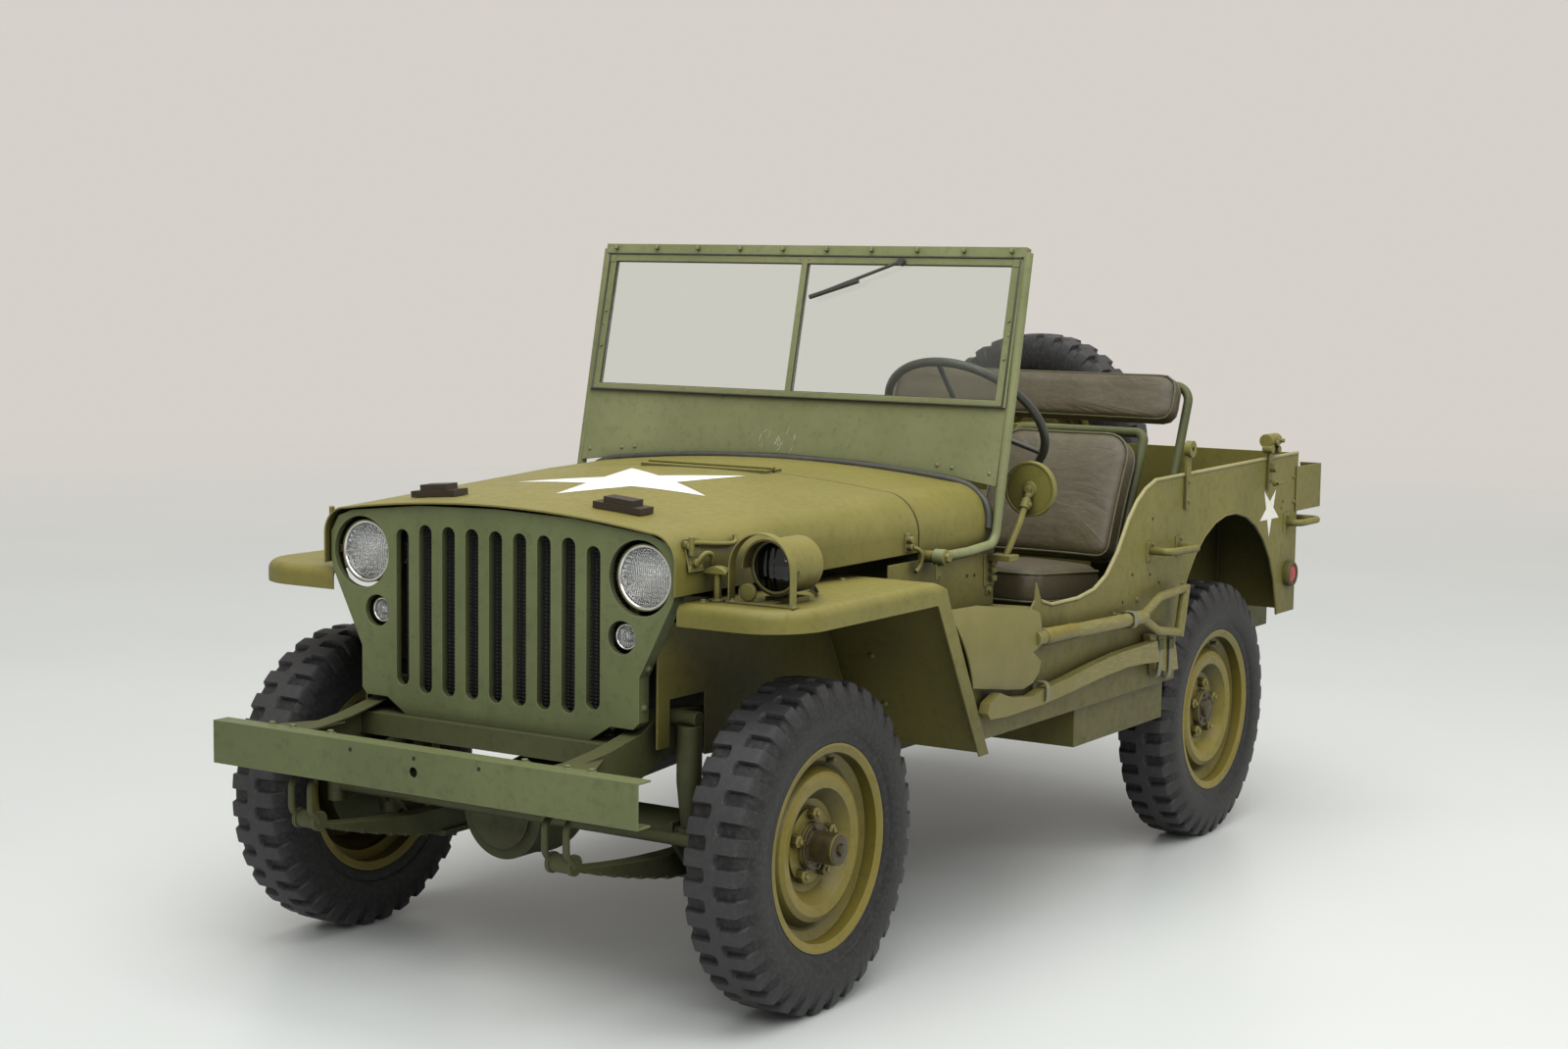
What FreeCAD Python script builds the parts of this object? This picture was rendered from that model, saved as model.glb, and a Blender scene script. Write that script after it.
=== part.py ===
import FreeCAD, Part
import math
import os
from types import SimpleNamespace

from FreeCAD import Placement, Rotation, Vector

# Army 4x4 car, open, with its windshield up.  Millimetres.
# +X is the car's left, -Y its front, +Z up.  The ground is Z = 0.

SIZES = (
    # alias, value, what it is
    ("front_axle_y", -1137, "front axle, from the middle of the car's length"),
    ("wheelbase", 2032, "front axle to rear axle"),
    ("axle_height", 352, "axle centre above the ground, which is the tyre's radius"),
    ("half_track", 622, "middle of the car to the middle of a tyre"),
    ("kingpin_x", 520, "middle of the car to a steering pivot"),
    ("running_gap", 0.05, "radial clearance of a wheel on its spindle"),
    ("seat_gap", 0.3, "gap between two curved or soft faces that meet"),
    ("tyre_width", 160, "tyre, wall to wall"),
    ("tread_width", 128, "tyre, across its lugs"),
    ("lug_depth", 11, "tread lugs, above the carcass"),
    ("lug_count", 34, "tread lugs on each side of a tyre"),
    ("bead_radius", 206, "rim, where the tyre's bead sits"),
    ("rim_lip_radius", 221, "rim, over its flanges"),
    ("rim_half_width", 68, "rim, middle to a flange's outer face"),
    ("rim_sheet", 5, "rim and wheel disc thickness"),
    ("stud_circle", 70, "wheel studs, radius of their circle"),
    ("stud_radius", 8, "wheel nut, across its middle"),
    ("spindle_radius", 20, "wheel spindle"),
    ("drum_radius", 128, "brake drum"),
    ("drum_back", 32, "brake drum's open side, inboard of the tyre's middle"),
    ("drum_gap", 5, "gap between a brake drum and its backing plate"),
    ("ball_radius", 46, "front axle's ball ends"),
    ("axle_tube_radius", 35, "axle housing tube"),
    ("diff_offset", -80, "differential, from the middle of the car"),
    ("diff_radius", 106, "differential's round cover"),
    ("rail_outer_x", 371, "frame rail, outer face"),
    ("rail_flange", 42, "frame rail, width of its flanges"),
    ("rail_sheet", 4, "frame rail thickness"),
    ("spring_x", 344, "leaf springs, from the middle of the car"),
    ("spring_width", 44, "leaf spring width"),
    ("leaf_thickness", 6.5, "one leaf"),
    ("leaf_count", 8, "leaves in a spring"),
    ("spring_eye_z", 361, "spring eyes, above the ground"),
    ("front_spring_half", 457, "front spring, axle to an eye"),
    ("rear_spring_half", 450, "rear spring, axle to an eye"),
    ("bumper_half", 569, "front bumper, half its length"),
    ("bumper_front", 516, "front bumper's face, ahead of the front axle"),
    ("bumper_low", 468, "front bumper's lower edge"),
    ("bumper_high", 562, "front bumper's upper edge"),
    ("bumper_depth", 44, "front bumper, front to back"),
    ("bumper_sheet", 4, "front bumper thickness"),
    ("bumper_bore", 11, "radius of the starting-handle hole in the bumper"),
    ("grille_front", 250, "grille's face, ahead of the front axle"),
    ("grille_half", 468, "grille, half its width at the lamps"),
    ("grille_foot", 378, "grille, half its width at the foot"),
    ("grille_depth", 36, "grille's turned-back edge"),
    ("grille_sheet", 3, "grille thickness"),
    ("slot_pitch", 65, "grille slots, one to the next"),
    ("slot_width", 36, "one grille slot"),
    ("slot_low", 634, "outer slots' lower end"),
    ("slot_high", 978, "outer slots' upper end"),
    ("slot_count", 9, "slots in the grille"),
    ("headlamp_x", 379, "headlamps, from the middle of the car"),
    ("headlamp_z", 920, "headlamps, above the ground"),
    ("headlamp_radius", 70, "headlamp shell"),
    ("headlamp_opening", 79, "hole in the grille round a headlamp"),
    ("marker_x", 333, "marker lamps, from the middle of the car"),
    ("marker_z", 793, "marker lamps, above the ground"),
    ("marker_opening", 35, "hole in the grille round a marker lamp"),
    ("blackout_x", 626, "blackout lamp, from the middle of the car"),
    ("body_sheet", 4, "body panels' thickness"),
    ("hood_front_half", 477, "hood, half its width in front"),
    ("hood_rear_half", 574, "hood, half its width at the back"),
    ("hood_front_top", 1048, "hood's crown in front, above the ground"),
    ("hood_rear_top", 1078, "hood's crown at the back, above the ground"),
    ("hood_crown", 30, "how far the hood's crown falls to its sides"),
    ("hood_front_y", -264, "hood's front edge"),
    ("hood_rear_y", 556, "hood's rear edge"),
    ("hood_side_low", 890, "hood sides' lower edge"),
    ("hood_corner", 62, "hood corner radius in front"),
    ("hood_rear_corner", 95, "hood corner radius at the back"),
    ("panel_gap", 6, "gap between two panels that move apart"),
    ("block_x", 251, "hood's wooden blocks, from the middle of the car"),
    ("block_y", -136, "hood's wooden blocks"),
    ("cowl_rear_y", 868, "cowl's rear edge, at the windshield"),
    ("cowl_rear_half", 604, "cowl, half its width at the windshield"),
    ("fender_top", 876, "front fender's flat top"),
    ("fender_front_y", -246, "front fender's front edge"),
    ("fender_outer_x", 742, "front fender's outer edge, from the middle of the car"),
    ("fender_corner", 135, "front fender's outer front corner radius, seen from above"),
    ("fender_roll", 22, "radius between a front fender's top and its turned-down edge"),
    ("fender_bend_y", 362, "front fender, where it turns down"),
    ("fender_tip_y", 602, "front fender's rear tip"),
    ("toe_setback", 56, "fender's rear panel to the toe board"),
    ("fender_tip_z", 462, "front fender's rear tip, above the ground"),
    ("fender_lip", 48, "front fender's turned-down edge"),
    ("apron_x", 396, "inner fender, from the middle of the car"),
    ("body_half", 720, "body side, from the middle of the car"),
    ("rear_overhang", 483, "rear axle to the body's rear panel"),
    ("body_low", 490, "body sides' lower edge"),
    ("body_tail_low", 579, "body sides' lower edge behind the wheels"),
    ("body_top", 1022, "body side's top edge behind the door"),
    ("body_tail_top", 1036, "body side's top edge at the rear"),
    ("door_sill_z", 764, "door opening's lowest point"),
    ("arch_radius", 358, "rear wheel arch"),
    ("arch_top", 898, "rear wheel arch, above the ground"),
    ("wheelhouse_x", 478, "rear wheel housing's inner wall"),
    ("wheelhouse_top", 906, "rear wheel housing's top"),
    ("rear_floor_z", 640, "rear floor"),
    ("step_ahead", 372, "rear axle to the step up to the rear floor, ahead of it"),
    ("tunnel_half", 150, "gearbox tunnel, half its width"),
    ("tunnel_top", 650, "gearbox tunnel's top"),
    ("sump_low", 388, "fuel tank's well, lowest point"),
    ("windshield_pivot_y", 580, "windshield pivot"),
    ("windshield_pivot_z", 904, "windshield pivot, above the ground"),
    ("windshield_rake", 13, "windshield, degrees back from upright"),
    ("windshield_half", 619, "windshield side tubes, from the middle of the car"),
    ("windshield_foot_y", 854, "windshield's plane at the foot height"),
    ("windshield_foot_z", 1032, "windshield's foot, above the ground"),
    ("windshield_top_z", 1606, "windshield's top, above the ground"),
    ("windshield_tube", 12, "windshield side tube's radius"),
    ("glass_low_z", 1244, "glass, lower edge"),
    ("glass_high_z", 1562, "glass, upper edge"),
    ("glass_thickness", 6, "windshield glass"),
    ("steering_wheel_radius", 219, "steering wheel"),
    ("steering_wheel_x", 370, "steering wheel, from the middle of the car"),
    ("steering_wheel_y", 1150, "steering wheel's hub"),
    ("steering_wheel_z", 1178, "steering wheel's hub, above the ground"),
    ("steering_rake", 46, "steering column, degrees from upright"),
    ("seat_x", 425, "front seats, from the middle of the car"),
    ("seat_width", 400, "front seats' width"),
    ("seat_pivot_y", 1090, "front seats' pivots at their front legs"),
    ("seat_pivot_height", 20, "front seats' pivots, above the floor"),
    ("seat_pin", 5, "radius of a front seat's pivot pin"),
    ("rear_seat_half", 470, "rear seat, half its width"),
    ("seat_tube", 13, "seat frame tube radius"),
    ("tie_rod_y", -187, "tie rod, from the front axle"),
    ("tie_rod_radius", 13, "tie rod"),
    ("tie_rod_x", 515, "tie rod's ball joints, from the middle of the car"),
    ("tie_rod_z", 372, "tie rod, above the ground"),
    ("spare_x", -212, "spare wheel, from the middle of the car"),
    ("spare_behind", 185, "body's rear panel to the spare wheel's middle plane"),
    ("spare_z", 1001, "spare wheel's centre, above the ground"),
    ("bumperette_reach", 275, "body's rear panel to the rear bumperettes' face"),
    ("gearbox_member_y", 1240, "cross member behind the gearbox"),
    ("handle_reach", 787, "side handles, from the middle of the car"),
    ("handle_radius", 10, "handle tube radius"),
)

doc = FreeCAD.newDocument("ArmyCar")
sheet = doc.addObject("Spreadsheet::Sheet", "Sizes")
for row, (alias, value, note) in enumerate(SIZES, start=1):
    sheet.set(f"A{row}", alias)
    sheet.set(f"B{row}", str(value))
    sheet.set(f"C{row}", note)
    sheet.setAlias(f"B{row}", alias)
doc.recompute()
s = SimpleNamespace(**{alias: float(sheet.get(alias)) for alias, _, _ in SIZES})
s.body_rear_y = s.wheelbase + s.rear_overhang
s.floor_step_y = s.wheelbase - s.step_ahead
s.spare_y = s.body_rear_y + s.spare_behind
s.bumperette_rear = s.body_rear_y + s.bumperette_reach

X_AXIS = Vector(1, 0, 0)
Y_AXIS = Vector(0, 1, 0)
Z_AXIS = Vector(0, 0, 1)
nodes = []


# ---------------------------------------------------------------- building blocks

def register(obj, label, x=0.0, y=0.0, z=0.0, turn=None):
    """Name a sub-part and put it in the car, with y counted from the front axle."""
    obj.Label = label
    obj.Placement = Placement(Vector(x, y + s.front_axle_y, z), turn or Rotation())
    nodes.append(obj)
    return obj


def shaped(label, solids, **place):
    """A sub-part whose shape is made here, from one solid or a list of them."""
    obj = doc.addObject("Part::Feature", label)
    obj.Shape = solids if not isinstance(solids, (list, tuple)) else Part.makeCompound(solids)
    return register(obj, label, **place)


def box(x0, x1, y0, y1, z0, z1):
    return Part.makeBox(x1 - x0, y1 - y0, z1 - z0, Vector(x0, y0, z0))


def rod(start, end, radius):
    start, end = Vector(*start), Vector(*end)
    run = end - start
    return Part.makeCylinder(radius, run.Length, start, run)


def sphere_at(centre, radius):
    """A sphere with its poles along X."""
    sphere = Part.makeSphere(radius)
    sphere.rotate(Vector(0, 0, 0), Y_AXIS, 90)
    sphere.translate(Vector(*centre))
    return sphere


def fused(solids):
    first, *rest = solids
    return first.multiFuse(rest).removeSplitter() if rest else first


def mirrored(shape):
    return shape.mirror(Vector(0, 0, 0), X_AXIS)


def both_sides(shape):
    return [shape, mirrored(shape)]


def tube(points, radius, bend):
    """A round tube through points, with each corner bent to one radius."""
    pts = [Vector(*p) for p in points]
    edges = []
    last = pts[0]
    for before, corner, after in zip(pts, pts[1:], pts[2:]):
        back = (before - corner).normalize()
        ahead = (after - corner).normalize()
        half = back.getAngle(ahead) / 2
        reach = bend / math.tan(half)
        middle = (back + ahead).normalize() * (bend / math.sin(half) - bend)
        start, end = corner + back * reach, corner + ahead * reach
        edges.append(Part.LineSegment(last, start).toShape())
        edges.append(Part.Arc(start, corner + middle, end).toShape())
        last = end
    edges.append(Part.LineSegment(last, pts[-1]).toShape())
    path = Part.Wire(edges)
    ring = Part.Wire(Part.Circle(pts[0], pts[1] - pts[0], radius).toShape())
    return path.makePipeShell([ring], True, False)


def side_profile(points, x0, x1):
    """A plate seen from the side: an outline of (y, z) points between two x planes."""
    wire = Part.makePolygon([Vector(x0, y, z) for y, z in points + points[:1]])
    return Part.Face(wire).extrude(Vector(x1 - x0, 0, 0))


def front_profile(points, y0, y1):
    """A plate seen from the front: an outline of (x, z) points between two y planes."""
    wire = Part.makePolygon([Vector(x, y0, z) for x, z in points + points[:1]])
    return Part.Face(wire).extrude(Vector(0, y1 - y0, 0))


def plan_profile(points, z0, z1):
    """A plate seen from above: an outline of (x, y) points between two z planes."""
    wire = Part.makePolygon([Vector(x, y, z0) for x, y in points + points[:1]])
    return Part.Face(wire).extrude(Vector(0, 0, z1 - z0))


def turned(points):
    """A solid of revolution about X, from an outline of (x, radius) points."""
    wire = Part.makePolygon([Vector(x, 0, r) for x, r in points + points[:1]])
    return Part.Face(wire).revolve(Vector(0, 0, 0), X_AXIS, 360)


def origin_plane(body, role):
    return next(f for f in body.Origin.OriginFeatures if f.Role == role)


def sketch_of(body, role, segments):
    """A sketch on one of the body's own planes, from line and arc segments."""
    sketch = body.newObject("Sketcher::SketchObject", body.Name + "Sketch")
    sketch.AttachmentSupport = [(origin_plane(body, role), "")]
    sketch.MapMode = "FlatFace"
    for segment in segments:
        sketch.addGeometry(segment, False)
    return sketch


def closed_lines(points):
    pts = [Vector(a, b, 0) for a, b in points]
    return [Part.LineSegment(a, b) for a, b in zip(pts, pts[1:] + pts[:1])]


# ---------------------------------------------------------------- frame

# frame rail seen from the side.  Columns: y, lower edge, upper edge
RAIL = (
    (-s.bumper_front + s.bumper_depth, s.bumper_low + 6, s.bumper_high - 4),
    (-340, 480, 572),
    (-225, 500, 594),
    (-150, 530, 632),
    (-40, 525, 622),
    (200, 480, 586),
    (540, 390, 484),
    (s.floor_step_y + 6, 390, 484),
    (s.wheelbase - 182, 505, 601),
    (s.body_rear_y - 8, 505, 601),
)


def rail_low(y):
    """Height of the rail's lower edge at y."""
    for (y0, low0, _), (y1, low1, _) in zip(RAIL, RAIL[1:]):
        if y <= y1:
            return low0 + (low1 - low0) * (y - y0) / (y1 - y0)
    return RAIL[-1][1]


def rail_outline(inset):
    low = [(y, z0 + inset) for y, z0, _ in RAIL]
    high = [(y, z1 - inset) for y, _, z1 in reversed(RAIL)]
    return low + high


def make_frame_rails():
    outer, inner = s.rail_outer_x, s.rail_outer_x - s.rail_flange
    web = side_profile(rail_outline(0), inner, outer)
    hollow = side_profile(rail_outline(s.rail_sheet), inner - 1, outer - s.rail_sheet)
    rail = web.cut(hollow)
    back = -s.bumper_front + s.bumper_depth
    gusset = plan_profile([(inner, back), (outer + 60, back), (outer, -360), (inner, -360)],
                          s.bumper_high - 4, s.bumper_high)
    reach = outer - s.rail_sheet
    # cross members, each into both rails' open sides.  Columns: y, depth, lower, upper
    members = [box(-reach, reach, y, y + depth, z0, z1) for y, depth, z0, z1 in (
        (-270, 110, 520, 570 - s.seat_gap),
        (-42, 50, 536, 600),
        (560, 60, 428, 480),
        (s.gearbox_member_y, 60, 432, 480),
        (s.body_rear_y - 58, 50, 509, 597),
    )]
    members.append(rod((-reach, s.wheelbase - 2, 560), (reach, s.wheelbase - 2, 560), 24))
    # body mounts on the rails: y and the body surface above
    for y, top in ((720, s.body_low), (1180, s.body_low), (s.floor_step_y - 80, s.body_low),
                   (s.body_rear_y - 75, s.rear_floor_z - s.body_sheet)):
        members += both_sides(box(inner + 4, outer - 4, y - 28, y + 28, rail_low(y) + 90, top - s.seat_gap))
    return shaped("frame_rails", fused([rail, mirrored(rail), gusset, mirrored(gusset)] + members))


def make_front_bumper():
    body = doc.addObject("PartDesign::Body", "FrontBumper")
    low, high = s.bumper_low, s.bumper_high
    back, depth = -s.bumper_front, s.bumper_depth
    web = s.bumper_sheet
    outline = sketch_of(body, "YZ_Plane", closed_lines([
        (back, low), (back + depth, low), (back + depth, low + web), (back + web, low + web),
        (back + web, high - web), (back + depth, high - web), (back + depth, high), (back, high)]))
    pad = body.newObject("PartDesign::Pad", "BumperChannel")
    pad.Profile = outline
    pad.SideType = "Symmetric"
    pad.setExpression("Length", "Sizes.bumper_half * 2")
    hole = sketch_of(body, "XZ_Plane", [
        Part.Circle(Vector(0, (low + high) / 2, 0), Z_AXIS, s.bumper_bore)])
    pocket = body.newObject("PartDesign::Pocket", "StartingHandleHole")
    pocket.Profile = hole
    pocket.Type = "ThroughAll"
    pocket.SideType = "Symmetric"
    body.Tip = pocket
    return register(body, "front_bumper")


def make_rear_bumperettes():
    rear, panel = s.bumperette_rear, s.body_rear_y + s.body_sheet
    z0, z1 = 500, 606
    solids = []
    for side in (1, -1):
        # a channel bent round at its outer end
        outline = [(215, rear - 44), (215, rear), (470, rear), (560, rear - 74), (560, panel + 30),
                   (554, panel + 30), (554, rear - 77), (467, rear - 6), (221, rear - 6), (221, rear - 44)]
        shell = plan_profile([(side * x, y) for x, y in outline], z0, z1)
        x0, x1 = sorted((side * (s.rail_outer_x - s.rail_flange + 2), side * s.rail_outer_x))
        arm = box(x0, x1, s.body_rear_y - 8, rear - 3, z0 + 6, s.body_tail_low - 5)
        solids.append(fused([shell, arm]))
    return shaped("rear_bumperettes", solids)


def make_pintle_hook():
    """Tow hook on the rear cross member: base plate, shank, lower horn and latch."""
    base_y, z = s.body_rear_y - 8, 553
    plate = box(-65, 65, base_y, base_y + 12, z - 46, z + 22)
    shank = rod((0, base_y + 12, z), (0, base_y + 110, z), 22)
    jaw = side_profile([(base_y + 105, z - 34), (base_y + 190, z - 34), (base_y + 205, z + 16),
                        (base_y + 182, z + 16), (base_y + 172, z - 8), (base_y + 128, z - 8),
                        (base_y + 124, z + 46), (base_y + 105, z + 46)], -21, 21)
    latch = side_profile([(base_y + 112, z + 46), (base_y + 196, z + 40), (base_y + 204, z + 17),
                          (base_y + 186, z + 17), (base_y + 178, z + 28), (base_y + 124, z + 30)], -16, 16)
    return shaped("pintle_hook", fused([plate, shank, jaw, latch]))


# ---------------------------------------------------------------- axles, springs, drive line

def plate_outer_x():
    """Outer face of a brake's backing plate."""
    return s.half_track - s.drum_back - s.drum_gap


def axle_housing(y, cover_side):
    """One axle housing: tube, ball ends or flanges, and the differential's bowl
    with its round bolted cover towards cover_side."""
    z = s.axle_height
    offset, radius = s.diff_offset, s.diff_radius
    end = s.kingpin_x - s.ball_radius - 22 if cover_side < 0 else plate_outer_x() - 4
    parts = [rod((-end, y, z), (end, y, z), s.axle_tube_radius)]
    bowl = sphere_at((offset, y, z), radius + 6)
    parts.append(bowl)
    parts.append(rod((offset, y, z), (offset, y + cover_side * 128, z), radius))
    parts.append(rod((offset, y + cover_side * 128, z), (offset, y + cover_side * 138, z), radius - 26))
    parts.append(rod((offset, y, z), (offset, y - cover_side * 165, z), 46))
    for side in (1, -1):
        x = side * s.spring_x
        saddle = box(x - 26, x + 26, y - 28, y + 28, z - 38, z - 10)
        parts.append(saddle)
    return parts


def make_front_axle():
    parts = axle_housing(0, -1)
    x, z, r = s.kingpin_x, s.axle_height, s.ball_radius
    for side in (1, -1):
        flange = side * (x - r - 16)
        parts.append(rod((flange - side * 12, 0, z), (flange, 0, z), 66))
        parts.append(rod((side * (x - r - 24), 0, z), (side * (x - r / 2), 0, z), 30))
        parts.append(sphere_at((side * x, 0, z), r))
    return shaped("front_axle", fused(parts))


def make_rear_axle():
    y, z = s.wheelbase, s.axle_height
    parts = axle_housing(y, 1)
    plate = plate_outer_x()
    for side in (1, -1):
        parts.append(rod((side * (plate - 8), y, z), (side * plate, y, z), s.drum_radius + 8))
        parts.append(rod((side * (plate - 30), y, z), (side * (s.half_track + 20), y, z), s.spindle_radius))
    return shaped("rear_axle", fused(parts))


def leaf_spring(y, half_length):
    """A stack of concentric leaves, each shorter than the one above, under the axle."""
    top = s.axle_height - 38 - s.seat_gap
    sag = s.spring_eye_z - s.leaf_thickness - top
    radius = (half_length ** 2 + sag ** 2) / (2 * sag)
    centre_z = top + radius
    count = int(s.leaf_count)

    def point(length, depth):
        angle = length / radius
        reach = radius + depth
        return Vector(0, y + reach * math.sin(angle), centre_z - reach * math.cos(angle))

    lengths = [half_length * (1 - 0.105 * leaf) for leaf in range(count)]
    edges = [Part.Arc(point(-half_length, 0), point(0, 0), point(half_length, 0)).toShape()]
    for side in (1, -1):
        for leaf, length in enumerate(lengths):
            upper, lower = leaf * s.leaf_thickness, (leaf + 1) * s.leaf_thickness
            a, b = point(side * length, upper), point(side * length, lower)
            edges.append(Part.LineSegment(a, b).toShape())
            if leaf + 1 < count:
                shorter = side * lengths[leaf + 1]
                middle = point((side * length + shorter) / 2, lower)
                edges.append(Part.Arc(b, middle, point(shorter, lower)).toShape())
    deepest = count * s.leaf_thickness
    shortest = lengths[-1]
    edges.append(Part.Arc(point(-shortest, deepest), point(0, deepest), point(shortest, deepest)).toShape())
    wire = Part.Wire(Part.__sortEdges__(edges))
    stack = Part.Face(wire).extrude(Vector(s.spring_width, 0, 0))
    stack.translate(Vector(-s.spring_width / 2, 0, 0))
    solids = [stack]
    for side in (1, -1):
        eye_y = y + side * half_length
        eye = rod((-s.spring_width / 2, eye_y, s.spring_eye_z), (s.spring_width / 2, eye_y, s.spring_eye_z), 19)
        solids.append(eye)
    plate = box(-s.spring_width / 2 - 10, s.spring_width / 2 + 10, y - 50, y + 50,
                top - deepest - 10, top - deepest + 2)
    solids.append(plate)
    return solids


def make_leaf_springs():
    """Four springs, each with a shackle at one end and a fixed hanger at the other."""
    solids = []
    half_width, gap = s.spring_width / 2, s.seat_gap
    eye_z = s.spring_eye_z
    for y, half, shackle_end in ((0, s.front_spring_half, -1), (s.wheelbase, s.rear_spring_half, 1)):
        parts = leaf_spring(y, half)
        eye_y = y + shackle_end * half
        fixed_y = y - shackle_end * half
        for x in (-half_width - 9, half_width + 1):
            # curved arm of the shackle, from the eye's cap up under the rail
            parts.append(rod((x, eye_y, eye_z), (x + 8, eye_y, eye_z), 22))
            arm_x, bow_y, hook_z = x + 4, eye_y + shackle_end * 26, rail_low(eye_y) - gap - 9
            arm = tube([(arm_x, eye_y, eye_z), (arm_x, bow_y, eye_z + 24), (arm_x, bow_y, hook_z - 22),
                        (arm_x, eye_y - shackle_end * 6, hook_z)], 7.5, 24)
            parts.append(arm)
            parts.append(rod((arm_x, eye_y - shackle_end * 6, hook_z - 3),
                             (arm_x, eye_y - shackle_end * 6, rail_low(eye_y - shackle_end * 6) - gap), 9))
            parts.append(side_profile([(fixed_y - 24, eye_z - 20), (fixed_y + 24, eye_z - 20),
                                       (fixed_y + 38, rail_low(fixed_y + 38) - gap),
                                       (fixed_y - 38, rail_low(fixed_y - 38) - gap)], x, x + 8))
        for pin_y in (eye_y, fixed_y):
            parts.append(rod((-half_width - 10, pin_y, eye_z), (half_width + 10, pin_y, eye_z), 8))
        spring = fused(parts)
        for side in (1, -1):
            copy = spring.copy()
            copy.translate(Vector(side * s.spring_x, 0, 0))
            solids.append(copy)
    return shaped("leaf_springs", solids)


def make_shock_absorbers():
    """Four tube shock absorbers outside the frame, from a pin on the rail down to a
    plate on the spring's clip."""
    solids = []
    x, low_z = s.rail_outer_x + 44, 371
    clip_x = s.spring_x + s.spring_width / 2 + 10 + s.seat_gap
    for y, sign, top_z in ((0, -1, 614), (s.wheelbase, 1, 572)):
        shock_y = y + sign * 119
        plate = [(y + sign * 50, 254), (y, 254), (y + sign * 100, 392), (y + sign * 138, 392),
                 (y + sign * 138, 352)]
        solids += both_sides(fused([
            rod((x, shock_y, top_z - 14), (x, shock_y, low_z + 110), 27),
            Part.makeCone(27, 17, 96, Vector(x, shock_y, low_z + 110), Vector(0, 0, -1)),
            rod((s.rail_outer_x + s.seat_gap, shock_y, top_z), (x + 24, shock_y, top_z), 17),
            rod((x - 15, shock_y, low_z), (x + 15, shock_y, low_z), 18),
            rod((clip_x, shock_y, low_z), (x, shock_y, low_z), 9),
            side_profile(plate, clip_x, clip_x + 9),
        ]))
    return shaped("shock_absorbers", solids)


ENGINE_BACK = 450
GEARBOX_FRONT = 530
TRANSFER_FRONT, TRANSFER_BACK = 930, 1120
FLANGE_FRONT, FLANGE_BACK = 880, 1190
OUTPUT_Z = 400


def make_engine_block():
    """Stand-in for the closed engine: oil pan, crankcase and head as one block, on a
    pad against the frame's front cross member."""
    pan = box(-100, 100, 60, 420, 500, 600)
    crankcase = box(-150, 150, 22, ENGINE_BACK, 598, 720)
    head = box(-110, 110, 30, 440, 718, 900)
    pad = box(-60, 60, 8 + s.seat_gap, 62, 545, 600)
    return shaped("engine_block", fused([pan, crankcase, head, pad]))


def transmission():
    bell = Part.makeCone(130, 96, GEARBOX_FRONT - ENGINE_BACK, Vector(0, ENGINE_BACK, 600), Y_AXIS)
    gearbox = box(-86, 86, GEARBOX_FRONT - 2, TRANSFER_FRONT + 2, 482, 632)
    transfer = box(s.diff_offset - 100, 90, TRANSFER_FRONT, TRANSFER_BACK, 358, 560)
    outputs = rod((s.diff_offset, FLANGE_FRONT, OUTPUT_Z), (s.diff_offset, FLANGE_BACK, OUTPUT_Z), 54)
    mount = box(0, 70, TRANSFER_BACK - 2, s.gearbox_member_y - s.seat_gap, 440, 472)
    return fused([bell, gearbox, transfer, outputs, mount])


def drive_shafts():
    """Shafts from the transfer case to both axles, each with a joint flange at its ends."""
    x, pinion = s.diff_offset, 165
    solids = []
    for y0, z0, y1, z1 in ((pinion, s.axle_height, FLANGE_FRONT, OUTPUT_Z),
                           (FLANGE_BACK, OUTPUT_Z, s.wheelbase - pinion, s.axle_height)):
        y0, y1 = y0 + s.seat_gap, y1 - s.seat_gap
        solids.append(fused([
            rod((x, y0, z0), (x, y0 + 24, z0), 38),
            rod((x, y1 - 24, z1), (x, y1, z1), 38),
            rod((x, y0 + 12, z0), (x, y1 - 12, z1), 24),
        ]))
    return solids


def make_drive_line():
    return shaped("drive_line", [transmission()] + drive_shafts())


def make_exhaust():
    pipe_x, muffler_x, low, z = -286, -446, 362, 385
    front, back = s.floor_step_y - 410, s.floor_step_y - 100
    pipe = tube([(-150 - s.seat_gap, 300, 680), (-215, 300, 680), (pipe_x, 330, 620), (pipe_x, 420, low),
                 (pipe_x, front - 170, low), (muffler_x, front - 60, low), (muffler_x, front + 12, low)], 21, 40)
    muffler = rod((muffler_x, front, z), (muffler_x, back, z), 50)
    tail = tube([(muffler_x, back - 10, z), (muffler_x, back + 40, z), (-690, back + 64, z)], 18, 22)
    # hanger strap up to the rail's lower edge
    strap = box(muffler_x - 5, -s.rail_outer_x - s.seat_gap, back - 160, back - 136, z + 46, z + 54)
    return shaped("exhaust", fused([pipe, muffler, tail, strap]))


# ---------------------------------------------------------------- wheels and tyres

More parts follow.
